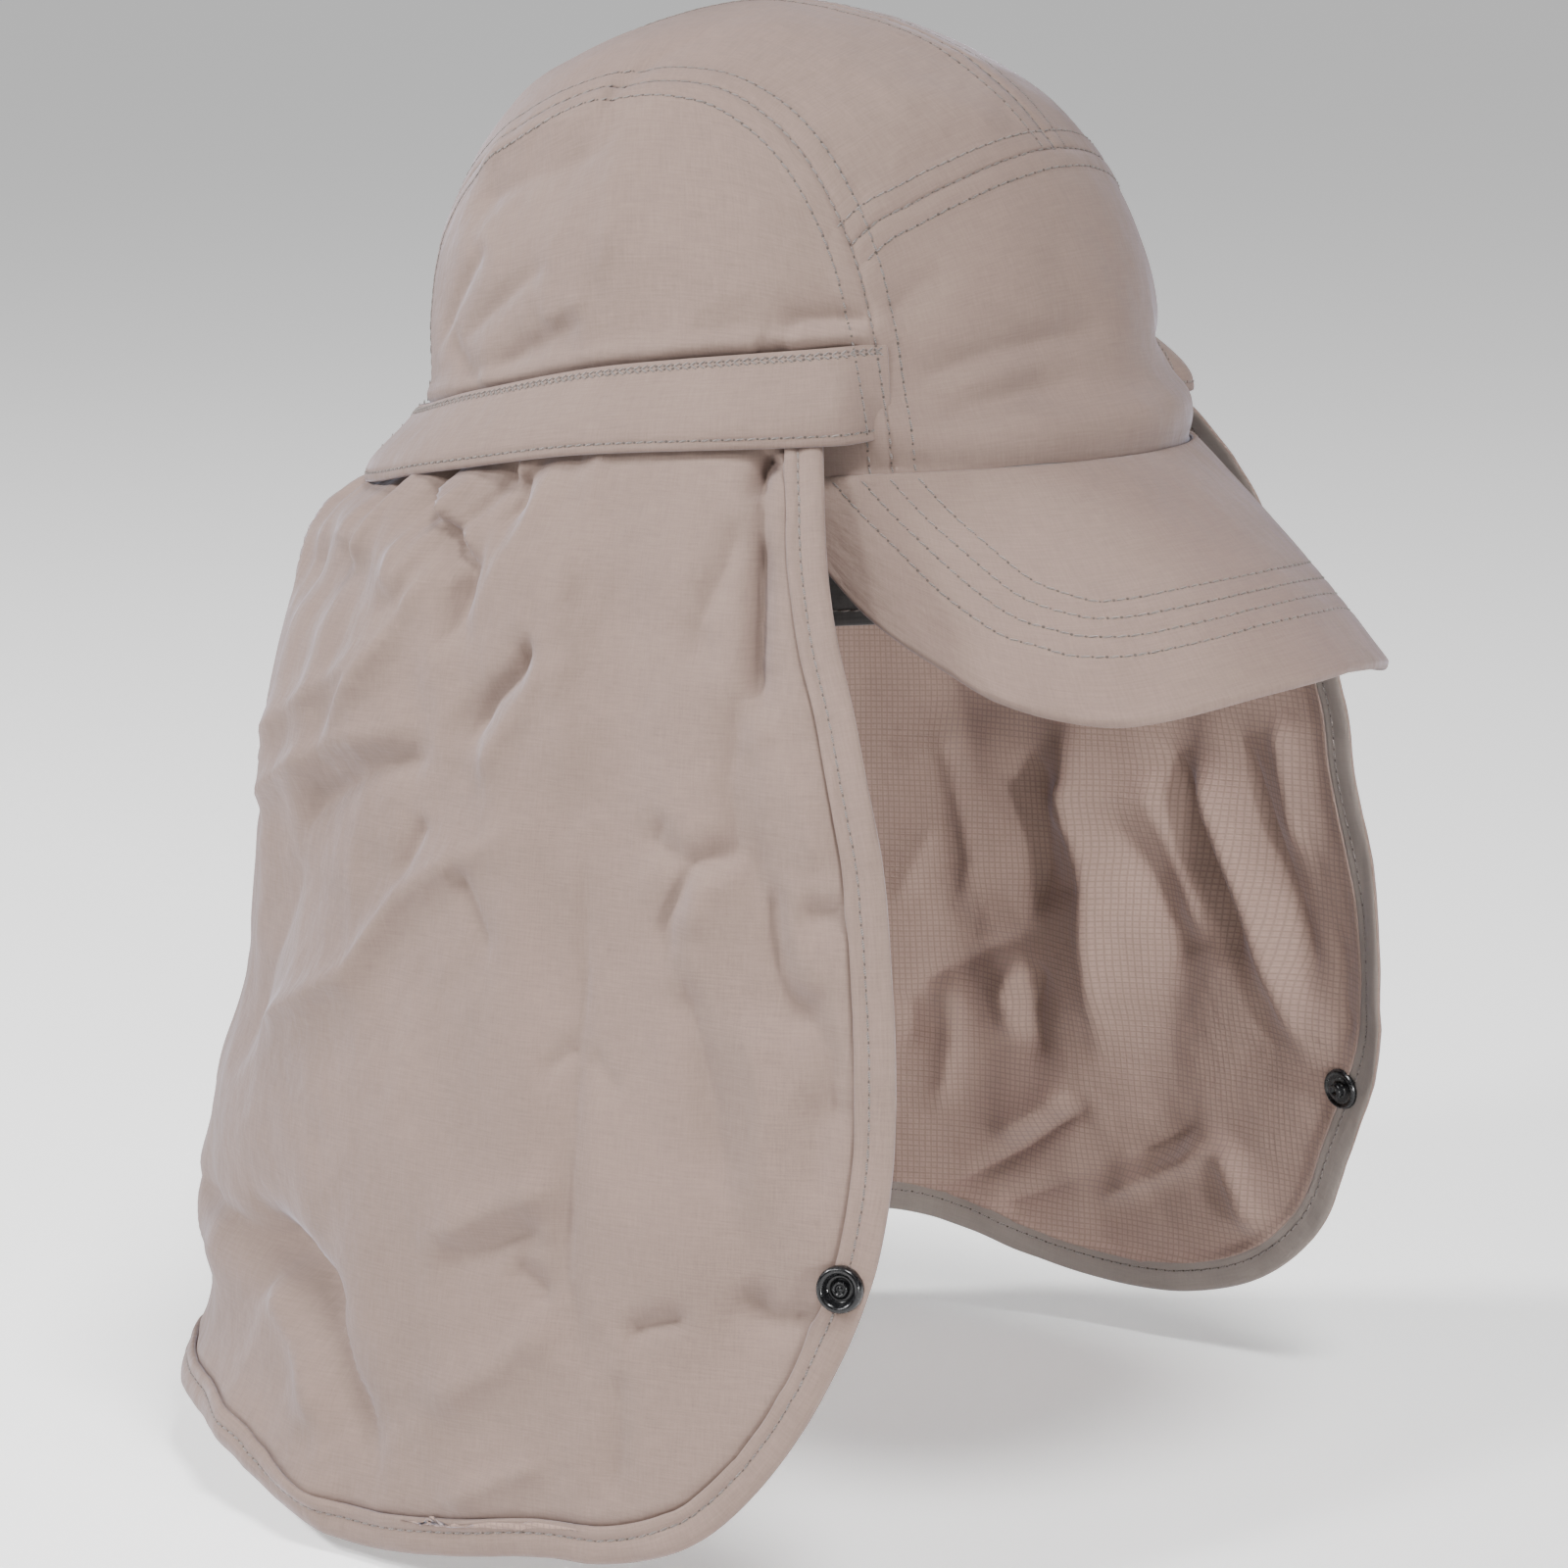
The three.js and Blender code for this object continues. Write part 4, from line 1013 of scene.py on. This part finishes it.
SEAM_LINES = {
    "right": line_on_crown(seam), "left": line_on_crown(mirrored(seam)),
    "front": line_on_crown(front_top_whole), "centre": line_on_crown(centre_line),
}
CROWN_CENTRE = np.array([0, 0, -60.0])


def crown_normals(spot, step=0.004):
    dx, dy = np.array([step, 0]), np.array([0, step])
    n = unit(np.cross(crown(spot + dx) - crown(spot - dx), crown(spot + dy) - crown(spot - dy)))
    out = np.sum(n * (crown(spot) - CROWN_CENTRE), -1, keepdims=True)
    return np.where(out < 0, -n, n)


def band_top_drop(points):
    """How far above the stow band's upper edge a point of the crown is, and how much the band covers it."""
    psi = np.degrees(np.arctan2(-points[..., 0], -points[..., 1])) % 360
    high = band_edges(psi)[..., 1]
    return points[..., 2] - high, away_from_front(psi, 43, 49)


def crown_relief(points):
    """Seams, allowances, puckers, the roll above the band, and soft dents, in mm outward."""
    swell = np.zeros(points.shape[:-1])
    x, y, z = points[..., 0], points[..., 1], points[..., 2]
    raised = np.zeros_like(swell)
    for k, line in enumerate(SEAM_LINES.values()):
        far, way = nearest(points, line)
        raised = np.maximum(raised, 1 - smooth(ALLOWANCE - 0.2, ALLOWANCE + 1.6, far))
        swell -= SEAM_GROOVE * bell(far, SEAM_GROOVE_WIDTH) + ROW_GROOVE * bell(far - ALLOWANCE, 0.6)
        pucker = 0.2 * noise(way, far * 0.5, 6.5, 31 + k) + 0.35 * noise(way, far * 0.2, 17, 41 + k)
        swell += pucker * np.exp(-far / 9)
    swell += ALLOWANCE_RISE * raised
    above, covered = band_top_drop(points)
    roll = bell(above - 3.2, 2.6) * 1.5 - 1.1 * bell(above, 1.2)
    swell += roll * covered * (0.75 + 0.25 * noise(x + y, z, 23, 51))
    turn = np.degrees(np.arctan2(-x, -y))
    front = smooth(52, 44, np.abs(turn))
    swell += front * (3.0 * bell(z - 9, 6) - 2.0 * bell(z, 2.6))
    for line, width, height in CROWN_CREASES:
        line = [(a * CROWN_SCALE, b) for a, b in line]
        swell += crease(turn * CROWN_SCALE, z, line, width, height, CROWN_ROUND_OFF)
    swell += 0.85 * noise(x + 0.4 * z, y - 0.3 * z, 38, 61) + 0.28 * noise(x + z, y - z, 15, 62)
    swell += 0.3 * ridges(x + 0.6 * z, y + 0.5 * z, 26, 63)
    return swell


def crown_panel(name, nodes, area, across, along):
    spot = area(*grid(across, along))
    points, normals = crown(spot), crown_normals(spot)
    swell = crown_relief(points)[..., None]
    outer = points + normals * (CROWN_WALL + swell)
    inner = points + normals * np.minimum(0.15 + 0.5 * np.minimum(swell, 0.6), CROWN_WALL + swell - 0.7)
    piece = shell(name, outer, inner, cloth_spots(points), [SUN_CLOTH, LINING_SIDE], lip=0.15)
    return keep(piece, nodes)


def flipped(area):
    return lambda a, b: area(a, b) * MIRROR


def turned_round(line):
    return lambda u: line(1 - np.asarray(u, float))


front_side = part(seam, 0, SEAM_JOIN)
front_area = patch(rim_arc(RIM_FRONT, -RIM_FRONT), front_top_whole, front_side, mirrored(front_side))
top_area = patch(turned_round(front_top_met), rim_arc(180, RIM_BACK), centre_line, part(seam, SEAM_JOIN, 1))
side_area = patch(rim_arc(RIM_FRONT, RIM_BACK), part(seam, SIDE_CORNER_FRONT, SIDE_CORNER_BACK),
                  part(seam, 0, SIDE_CORNER_FRONT), part(seam, 1, SIDE_CORNER_BACK))
PANELS = [crown_panel("crown_front", ["front_panel"], front_area, 168, 76)]
for side, turn in (("right", lambda f: f), ("left", flipped)):
    PANELS.append(crown_panel("crown_top_" + side, ["top_panel_" + side], turn(top_area), 52, 250))
    PANELS.append(crown_panel("crown_side_" + side, ["side_panel_" + side], turn(side_area), 190, 120))


# Stow band
def band_strip(psi, v, lift=0.0):
    """Middle surface of the band: v runs from its upper edge to its lower edge."""
    edges = band_edges(psi)
    low, high = edges[..., 0], edges[..., 1]
    t = np.arctan2(HALF_L * np.sin(np.radians(psi)), HALF_W * np.cos(np.radians(psi)))
    z = high + (low - high) * v
    way = np.zeros_like(z)
    step = 0.2
    for _ in range(18):
        section = read(PROFILE, way + step)[..., 0]
        below = CROWN_HEIGHT * section + rim_height(t) * (1 - section) ** 3 < z
        way = np.where(below, way + step, way)
        step /= 2
    wall = crown(np.stack([(1 - way) * np.sin(t), (1 - way) * np.cos(t)], -1))
    reach = np.hypot(wall[..., 0], wall[..., 1])
    ends = away_from_front(psi, 43.5, 52)
    rest = reach + CROWN_WALL + 0.55 + BAND_GAP * ends + BAND_WALL / 2
    _, _, _, flap = skirt_plain(psi, 0 * z - low)
    stand = flap + FLAP_WALL / 2 + BAND_GAP + BAND_WALL / 2 + 0.6
    target = np.where(reach < stand, stand, rest)
    radius = rest + (target - rest) * ends * smooth(-0.12, 1, v) ** 1.1 + lift
    return in_plan(psi, radius, z)


def band_cloth(psi, v):
    x = psi * 1.75
    swell = 0.55 * np.sin(np.pi * v) ** 0.8 - 0.55 * bell(v, 0.07) - 0.25 * bell(v - 0.91, 0.025)
    swell += 0.45 * noise(x, v * 22, 26, 71) * np.sin(np.pi * v) + 0.16 * noise(x, v * 22, 8, 72)
    return band_strip(psi, v, swell)


psi, v = grid(440, 40, BAND_START, 360 - BAND_START)
points = band_cloth(psi, v)
normals = grid_normals(points, 0)
wall = BAND_WALL / 2 * (0.55 + 0.45 * away_from_front(psi, 43, 50))[..., None]
BAND = keep(shell("stow_band", points + normals * wall, points - normals * wall, cloth_spots(points),
                  [SUN_CLOTH, LINING_SIDE], lip=0.5), ["flap_band"])

# Sweatband: a grey tape inside the rim that hangs below it, its colour darkened with painted shade
t, v = grid(361, 30, 0, 2 * np.pi)
normals = rim_outward(t)
points = on_rim(t, rim_height(t) - SWEATBAND_HEIGHT * (1 - v))
sag = 0.25 * noise(t * 88, v * 36, 22, 81) * (1 - v) - 0.18 * bell(v - 0.09, 0.03)
points = points + normals * (sag - 0.5)[..., None]
cloth = np.stack([t * 96, v * SWEATBAND_HEIGHT], -1)
TAPE_BAND = shell("sweat_tape", points, points - normals * SWEATBAND_WALL, cloth, [TAPE_WITH_PAINTED_SHADE, TAPE_WITH_PAINTED_SHADE], ring=True)
keep(TAPE_BAND, ["sweatband"])


# Peak
def peak_top(u, w):
    t = np.radians(u * PEAK_HALF_ANGLE)
    away = rim_outward(t, PEAK_FORWARD)
    shape = read(PEAK, np.abs(u) * PEAK_HALF_ANGLE)
    length = PEAK_LENGTH * shape[..., 0]
    slope = np.radians(shape[..., 1] + 6 * (w - 0.5) + 2.4 * smooth(0, -0.35, u))
    root = on_rim(t, rim_height(t) + 0.3)
    reach = PEAK_STANDOFF + length * w * np.cos(slope)
    return root + away * reach[..., None] - UP * (length * w * np.sin(slope))[..., None], length * w


# Rows of stitching on the peak. Columns: plan angle, distance out from the rim in mm
PEAK_ROW_INNER = [(45.2, 0), (41.7, 11.4), (38.2, 21.5), (34.6, 32.4), (32, 37), (28.5, 41.6), (25.9, 42.5),
                  (22.4, 42.9), (16.4, 43), (9, 43), (0, 43)]
PEAK_ROW_OUTER = [(57.25, 0), (53.3, 9.9), (49, 20.5), (44.4, 33.6), (39.5, 45.8), (36.3, 50), (33.3, 54.4),
                  (29.9, 56.9), (26.7, 58), (22.5, 58.4), (15, 58.5), (10, 57.8), (0, 57.8)]


def peak_row(share):
    u = np.linspace(0, 1, 120)
    inner, outer = curve(PEAK_ROW_INNER)(u), curve(PEAK_ROW_OUTER)(u)
    half = inner + (outer - inner) * share
    whole = np.concatenate([half[:-1], (half * MIRROR)[::-1]])
    angle = np.abs(whole[:, 0])
    length = PEAK_LENGTH * read(PEAK, angle)[..., 0]
    return peak_top(whole[:, 0] / PEAK_HALF_ANGLE, np.clip(whole[:, 1] / np.maximum(length, 1), 0, 1))[0]


PEAK_ROWS = [peak_row(k / 3) for k in range(4)]
u, w = grid(300, 84, -1)
points, out_mm = peak_top(u, w)
normals = grid_normals(points, -90)
normals[:4], normals[-4:] = normals[4:5], normals[-5:-4]
swell = np.zeros_like(u)
for row in PEAK_ROWS:
    far, _ = nearest(points, row)
    swell -= PEAK_ROW_GROOVE * bell(far, SEAM_GROOVE_WIDTH)
x, y = points[..., 0], points[..., 1]
swell += 0.1 * noise(x, y, 13, 91) + 0.05 * noise(x, y, 5, 92)
edge_far = (1 - w) * np.maximum(PEAK_LENGTH * read(PEAK, np.abs(u) * PEAK_HALF_ANGLE)[..., 0], 1)
thick = 1.2 + (PEAK_WALL - 1.2) * smooth(0, 14, out_mm)
ease = np.sqrt(np.clip(1 - (1 - np.clip(edge_far / 1.6, 0, 1)) ** 2, 0, 1))
outer = points + normals * (swell + 0.35 - (1 - ease) * thick * 0.42)[..., None]
inner = points - normals * (thick - 0.1 - (1 - ease) * thick * 0.42)[..., None]
PEAK_COVER = keep(shell("peak_cover", outer, inner, cloth_spots(points), [SUN_CLOTH, SUN_CLOTH], lip=0.35),
                  ["peak"])

# Neck flap and hem
line_u = np.linspace(0, 1, 161)
line_psi, line_drop = inward(line_u, INSIDE * HEM_INNER_LINE)
line_rows = np.column_stack([line_u, line_psi, line_drop])


def inner_line(u):
    return read(line_rows, np.asarray(u, float))


def row_way(b):
    return np.asarray(b, float) ** 1.2


def top_line(u):
    at = line_psi[0] + (line_psi[-1] - line_psi[0]) * np.asarray(u, float)
    return np.stack([at, -band_edges(at)[..., 0] - FLAP_TUCK], -1)


def front_line(corner, low, top):
    def line(u):
        u = np.asarray(u, float)
        spot = inner_line(corner(row_way(u)))
        spot[..., 1] += (top - low) * (1 - u) ** 8
        return spot
    return line


right_front = front_line(lambda w: EDGE_CORNER_RIGHT * w, line_drop[0], top_line(np.zeros(1))[0, 1])
left_front = front_line(lambda w: 1 - (1 - EDGE_CORNER_LEFT) * w, line_drop[-1], top_line(np.ones(1))[0, 1])
flap_area = patch(top_line, part(inner_line, EDGE_CORNER_RIGHT, EDGE_CORNER_LEFT), right_front, left_front)
columns = np.interp(np.linspace(0, 1, 330), [0, 0.49, 0.66, 1], [0, 0.4, 0.72, 1])
a, b = np.meshgrid(columns, np.linspace(0, 1, 147), indexing="ij")
spot = flap_area(a, b)
points = skirt(spot[..., 0], spot[..., 1])
normals = grid_normals(points, -100)
edge_line = inner_line(np.linspace(0, 1, 900))
edge_points = skirt(edge_line[:, 0], edge_line[:, 1])
far, way = nearest(points, edge_points)
pucker = 0.5 * noise(way, far * 0.25, 11, 101) + 0.3 * noise(way, far * 0.2, 5, 102)
pucker = pucker * np.exp(-far / 8) * smooth(1, 4, far)
points = points + normals * (pucker - HEM_GROOVE * bell(far, HEM_GROOVE_WIDTH))[..., None]
cloth = np.stack([(spot[..., 0] - 180) * 2.6, spot[..., 1] * 1.1], -1)
FLAP = keep(shell("flap_cloth", points + normals * FLAP_WALL / 2, points - normals * FLAP_WALL / 2, cloth,
                  [SUN_CLOTH, LINING_SIDE], lip=0.5), ["neck_flap"])

# Hem section round its wall. Columns: distance in from the edge in mm, height share
HEM_SECTION = [
    (9.6, 0.30), (9.5, 0.85), (9.1, 1.15), (8.2, 1.28), (7.2, 1.12), (6.6, 0.82), (6.2, 0.62), (5.8, 0.78),
    (5, 1.12), (4, 1.34), (3, 1.4), (2, 1.3), (1.2, 1.1), (0.6, 0.78), (0.2, 0.38), (0, 0.0), (0.2, -0.36),
    (0.6, -0.64), (1.2, -0.84), (2, -0.92), (3.4, -0.92), (4.8, -0.85), (6.2, -0.6), (7.6, -0.85),
    (8.8, -0.8), (9.5, -0.5),
]
count = 720
u = np.linspace(0, 1, count)
rows, cloth = [], []
edge_way = way_along(skirt(*inward(u, 0.0)))
for distance, height in HEM_SECTION:
    at_psi, at_drop = inward(u, INSIDE * distance)
    _, _, normal = skirt_slopes(at_psi, at_drop)
    ripple = 0.3 * noise(edge_way, distance * 0.3, 9, 111) + 0.16 * noise(edge_way, distance * 0.3, 4.3, 112)
    lift = HEM_WALL / 2 * height + ripple * (0.6 if height else 0.3)
    rows.append(skirt(at_psi, at_drop) + normal * lift[:, None])
    cloth.append(np.stack([edge_way, np.full(count, distance)], -1))
rows, cloth = np.array(rows), np.array(cloth)
sides = len(HEM_SECTION)
points = list(rows.reshape(-1, 3)) + [rows[:, 0].mean(0), rows[:, -1].mean(0)]
faces, spots, marks = [], [], []
flat_cloth = cloth.reshape(-1, 2)
for j in range(sides):
    k = (j + 1) % sides
    inner_side = HEM_SECTION[j][1] < -0.5 or HEM_SECTION[k][1] < -0.5
    for i in range(count - 1):
        faces.append((j * count + i, k * count + i, k * count + i + 1, j * count + i + 1))
        spots.append([flat_cloth[n] for n in faces[-1]])
        marks.append(1 if inner_side else 0)
    for at, tip in ((0, sides * count), (count - 1, sides * count + 1)):
        one, two = j * count + at, k * count + at
        faces.append((one, tip, two) if at == 0 else (two, tip, one))
        spots.append([flat_cloth[one], flat_cloth[one], flat_cloth[two]])
        marks.append(0)
if volume_of(points, faces) < 0:
    faces, spots = [f[::-1] for f in faces], [c[::-1] for c in spots]
HEM = make_mesh("flap_hem_binding", points, faces, [SUN_CLOTH, HEM_FACING], np.concatenate(spots), marks)
keep(HEM, ["flap_hem"])

# Snaps. Columns of the sections: radius share, height share
SOCKET_SECTION = [
    (0, 0.42), (0.07, 0.42), (0.1, 0.36), (0.15, 0.34), (0.18, 0.4), (0.22, 0.56), (0.27, 0.6), (0.32, 0.56),
    (0.36, 0.36), (0.4, 0.27), (0.5, 0.25), (0.57, 0.28), (0.61, 0.4), (0.66, 0.74), (0.7, 0.9), (0.77, 0.98),
    (0.84, 1.0), (0.91, 0.94), (0.96, 0.8), (0.99, 0.6), (1.0, 0.36), (0.995, 0.14), (0.97, 0.0), (0.0, 0.0),
]
STUD_SECTION = [
    (0, 0.84), (0.1, 0.85), (0.14, 0.95), (0.18, 1.0), (0.3, 1.0), (0.35, 0.95), (0.37, 0.84),
    (0.36, 0.5), (0.38, 0.36), (0.44, 0.32), (0.7, 0.31), (0.76, 0.34), (0.8, 0.44), (0.85, 0.5),
    (0.91, 0.48), (0.96, 0.36), (0.99, 0.22), (1.0, 0.1), (0.98, 0.0), (0, 0.0),
]
CAP_SECTION = [
    (0, 1.0), (0.3, 0.985), (0.5, 0.94), (0.7, 0.83), (0.85, 0.64), (0.93, 0.46), (0.98, 0.25), (1.0, 0.1),
    (0.98, 0.0), (0, 0.0),
]


def snap(name, node, section, height, place, face, turns=SNAP_TURNS):
    """Round snap half turned about the cloth's outward direction."""
    spot_psi, spot_drop = np.array(place[0]), np.array(place[1] * FLAP_DROP)
    _, _, normal = skirt_slopes(spot_psi, spot_drop, 4.0)
    axis = unit(normal * face)
    side = unit(np.cross(axis, [0, 0, 1]))
    other = np.cross(axis, side)
    base = skirt(spot_psi, spot_drop) + axis * (HEM_WALL / 2 - 0.25)
    angle = np.linspace(0, 2 * np.pi, turns, endpoint=False)
    points = [base + axis * section[0][1] * height]
    for radius, rise in section[1:-1]:
        ring = (np.cos(angle)[:, None] * side + np.sin(angle)[:, None] * other) * radius * SNAP_DIAMETER / 2
        points += list(base + axis * rise * height + ring)
    points.append(base + axis * section[-1][1] * height)
    last = len(points) - 1
    faces = []
    for i in range(turns):
        k = (i + 1) % turns
        faces.append((0, 1 + i, 1 + k))
        for j in range(len(section) - 3):
            a, b = 1 + j * turns, 1 + (j + 1) * turns
            faces.append((a + i, b + i, b + k, a + k))
        low = 1 + (len(section) - 3) * turns
        faces.append((low + k, low + i, last))
    if volume_of(points - base, faces) < 0:
        faces = [f[::-1] for f in faces]
    return keep(make_mesh(name, points, faces, [SNAP_BLACK]), [node])


SNAPS = [
    snap("snap_socket", "snap_socket_right", SOCKET_SECTION, SNAP_HEIGHT, SNAP_RIGHT, 1),
    snap("snap_socket_cap", "snap_cap_right", CAP_SECTION, SNAP_CAP_HEIGHT, SNAP_RIGHT, -1),
    snap("snap_stud", "snap_stud_left", STUD_SECTION, SNAP_HEIGHT, SNAP_LEFT, -1),
    snap("snap_stud_cap", "snap_cap_left", CAP_SECTION, SNAP_CAP_HEIGHT, SNAP_LEFT, 1),
]


# Rows of stitches
def beside(line, shift):
    """Line on the disc moved sideways over the crown by a distance in mm, with its outward directions."""
    spot = line(np.linspace(0, 1, 300))
    points, normals = crown(spot), crown_normals(spot)
    side = unit(np.cross(normals, np.gradient(points, axis=0)))
    return points + side * shift, normals


crown_rows = Rows(surface_of(PANELS + [BAND]))
for line in (seam, mirrored(seam), centre_line, front_top_whole):
    for shift in (-ALLOWANCE, 0.0, ALLOWANCE):
        crown_rows.add(*beside(line, shift))
crown_rows.make("crown_stitching", SEAM_STITCH, 3)

peak_rows = Rows(surface_of([PEAK_COVER]))
for row in PEAK_ROWS:
    towards = np.tile([[0, -0.55, 0.83]], (len(row), 1)) + unit(row * FLAT) * [0.5, 0, 0]
    peak_rows.add(row, unit(towards), pitch=3.5, margin=1.0)
peak_rows.make("peak_stitching", PEAK_STITCH, 5)

band_rows = Rows(surface_of([BAND]))
psi = np.linspace(43.6, 316.4, 710)
for share, pitch, slant in ((0.035, 2.2, 0.75), (0.075, 2.2, -0.75), (0.91, 2.9, 0.15)):
    line = band_strip(psi, np.full_like(psi, share))
    band_rows.add(line, unit(line * FLAT), pitch=pitch, slant=slant)
band_rows.make("band_stitching", BAND_STITCH, 7)

hem_rows = Rows(surface_of([HEM]))
u = np.linspace(0.004, 0.996, 900)
at_psi, at_drop = inward(u, INSIDE * HEM_STITCHES_IN)
_, _, normal = skirt_slopes(at_psi, at_drop, 2.0)
for face in (1, -1):
    hem_rows.add(skirt(at_psi, at_drop), normal * face, pitch=3.1)
HEM_THREAD = hem_rows.make("hem_stitching", HEM_STITCH, 9)

tape_rows = Rows(surface_of([TAPE_BAND]))
t = np.linspace(0, 2 * np.pi, 700)
tape_rows.add(on_rim(t, rim_height(t) - SWEATBAND_HEIGHT * 0.91), rim_outward(t))
tape_rows.make("tape_stitching", SEAM_STITCH, 11)

# Camera at the photograph's view: angles in degrees, lengths in mm
VIEW_TURN, VIEW_RISE, VIEW_DISTANCE = -56, 10, 1417
VIEW_AIM = Vector((-2.9, 4.3, -94))
PHOTO_SIDE = 1600
FOCAL_PIXELS = 5500
SENSOR_WIDTH = 36
# Lights. Columns: name, turn, rise, distance and size in m, power in W, aim in m, spread. Angles in degrees
OPEN_SPREAD, OBJECT_AIM = 180, (0, 0, -0.08)
LIGHTS = [
    ("key_light", -102, 34, 2.4, 0.35, 40, OBJECT_AIM, OPEN_SPREAD),
    ("rim_light", -144, 36, 2.4, 0.35, 74, OBJECT_AIM, OPEN_SPREAD),
    ("top_light", -34, 60, 2.2, 0.6, 72, OBJECT_AIM, OPEN_SPREAD),
    ("front_light", -20, 0, 2.0, 0.2, 0.5, (0.05, 0.05, -0.22), 18),
]


def at_angle(turn, rise, distance):
    turn, rise = math.radians(turn), math.radians(rise)
    level = math.cos(rise)
    return Vector((math.sin(turn) * level, -math.cos(turn) * level, math.sin(rise))) * distance


def facing(direction):
    return direction.to_track_quat("-Z", "Y").to_euler()


camera_data = bpy.data.cameras.new("camera")
camera_data.sensor_width = SENSOR_WIDTH
camera_data.lens = FOCAL_PIXELS / PHOTO_SIDE * SENSOR_WIDTH
camera_data.clip_end = 50
camera = placed("camera", camera_data)
camera.location = (VIEW_AIM + at_angle(VIEW_TURN, VIEW_RISE, VIEW_DISTANCE)) * MM
camera.rotation_euler = facing(-at_angle(VIEW_TURN, VIEW_RISE, 1))
bpy.context.scene.camera = camera

for name, turn, rise, distance, size, power, aim, spread in LIGHTS:
    data = bpy.data.lights.new(name, "AREA")
    data.shape = "DISK"
    data.size = size
    data.energy = power
    data.spread = math.radians(spread)
    lamp = placed(name, data)
    lamp.location = at_angle(turn, rise, distance)
    lamp.rotation_euler = facing(Vector(aim) - lamp.location)

world = bpy.data.worlds.new("studio")
world.use_nodes = True
background = world.node_tree.nodes["Background"]
background.inputs["Color"].default_value = (1, 1, 1, 1)
background.inputs["Strength"].default_value = 0.12
bpy.context.scene.world = world

floor_mesh = bpy.data.meshes.new("floor")
FLOOR_HALF, FLOOR_Z = 24.0, -0.275
corners = [(x * FLOOR_HALF, y * FLOOR_HALF, FLOOR_Z) for x, y in ((-1, -1), (1, -1), (1, 1), (-1, 1))]
floor_mesh.from_pydata(corners, [], [(0, 1, 2, 3)])
floor = placed("floor", floor_mesh)
pale, tree, body = shader("pale_floor", Roughness=0.9, Emission_Color=(1, 1, 1, 1), Emission_Strength=0.5)
cloud = grain(tree, put(tree, "ShaderNodeTexCoord").outputs["Object"], 3.0)
feed(tree, body, Base_Color=blend_colours(tree, cloud, (0.86, 0.86, 0.86, 1), (0.9, 0.9, 0.9, 1)))
floor_mesh.materials.append(pale)
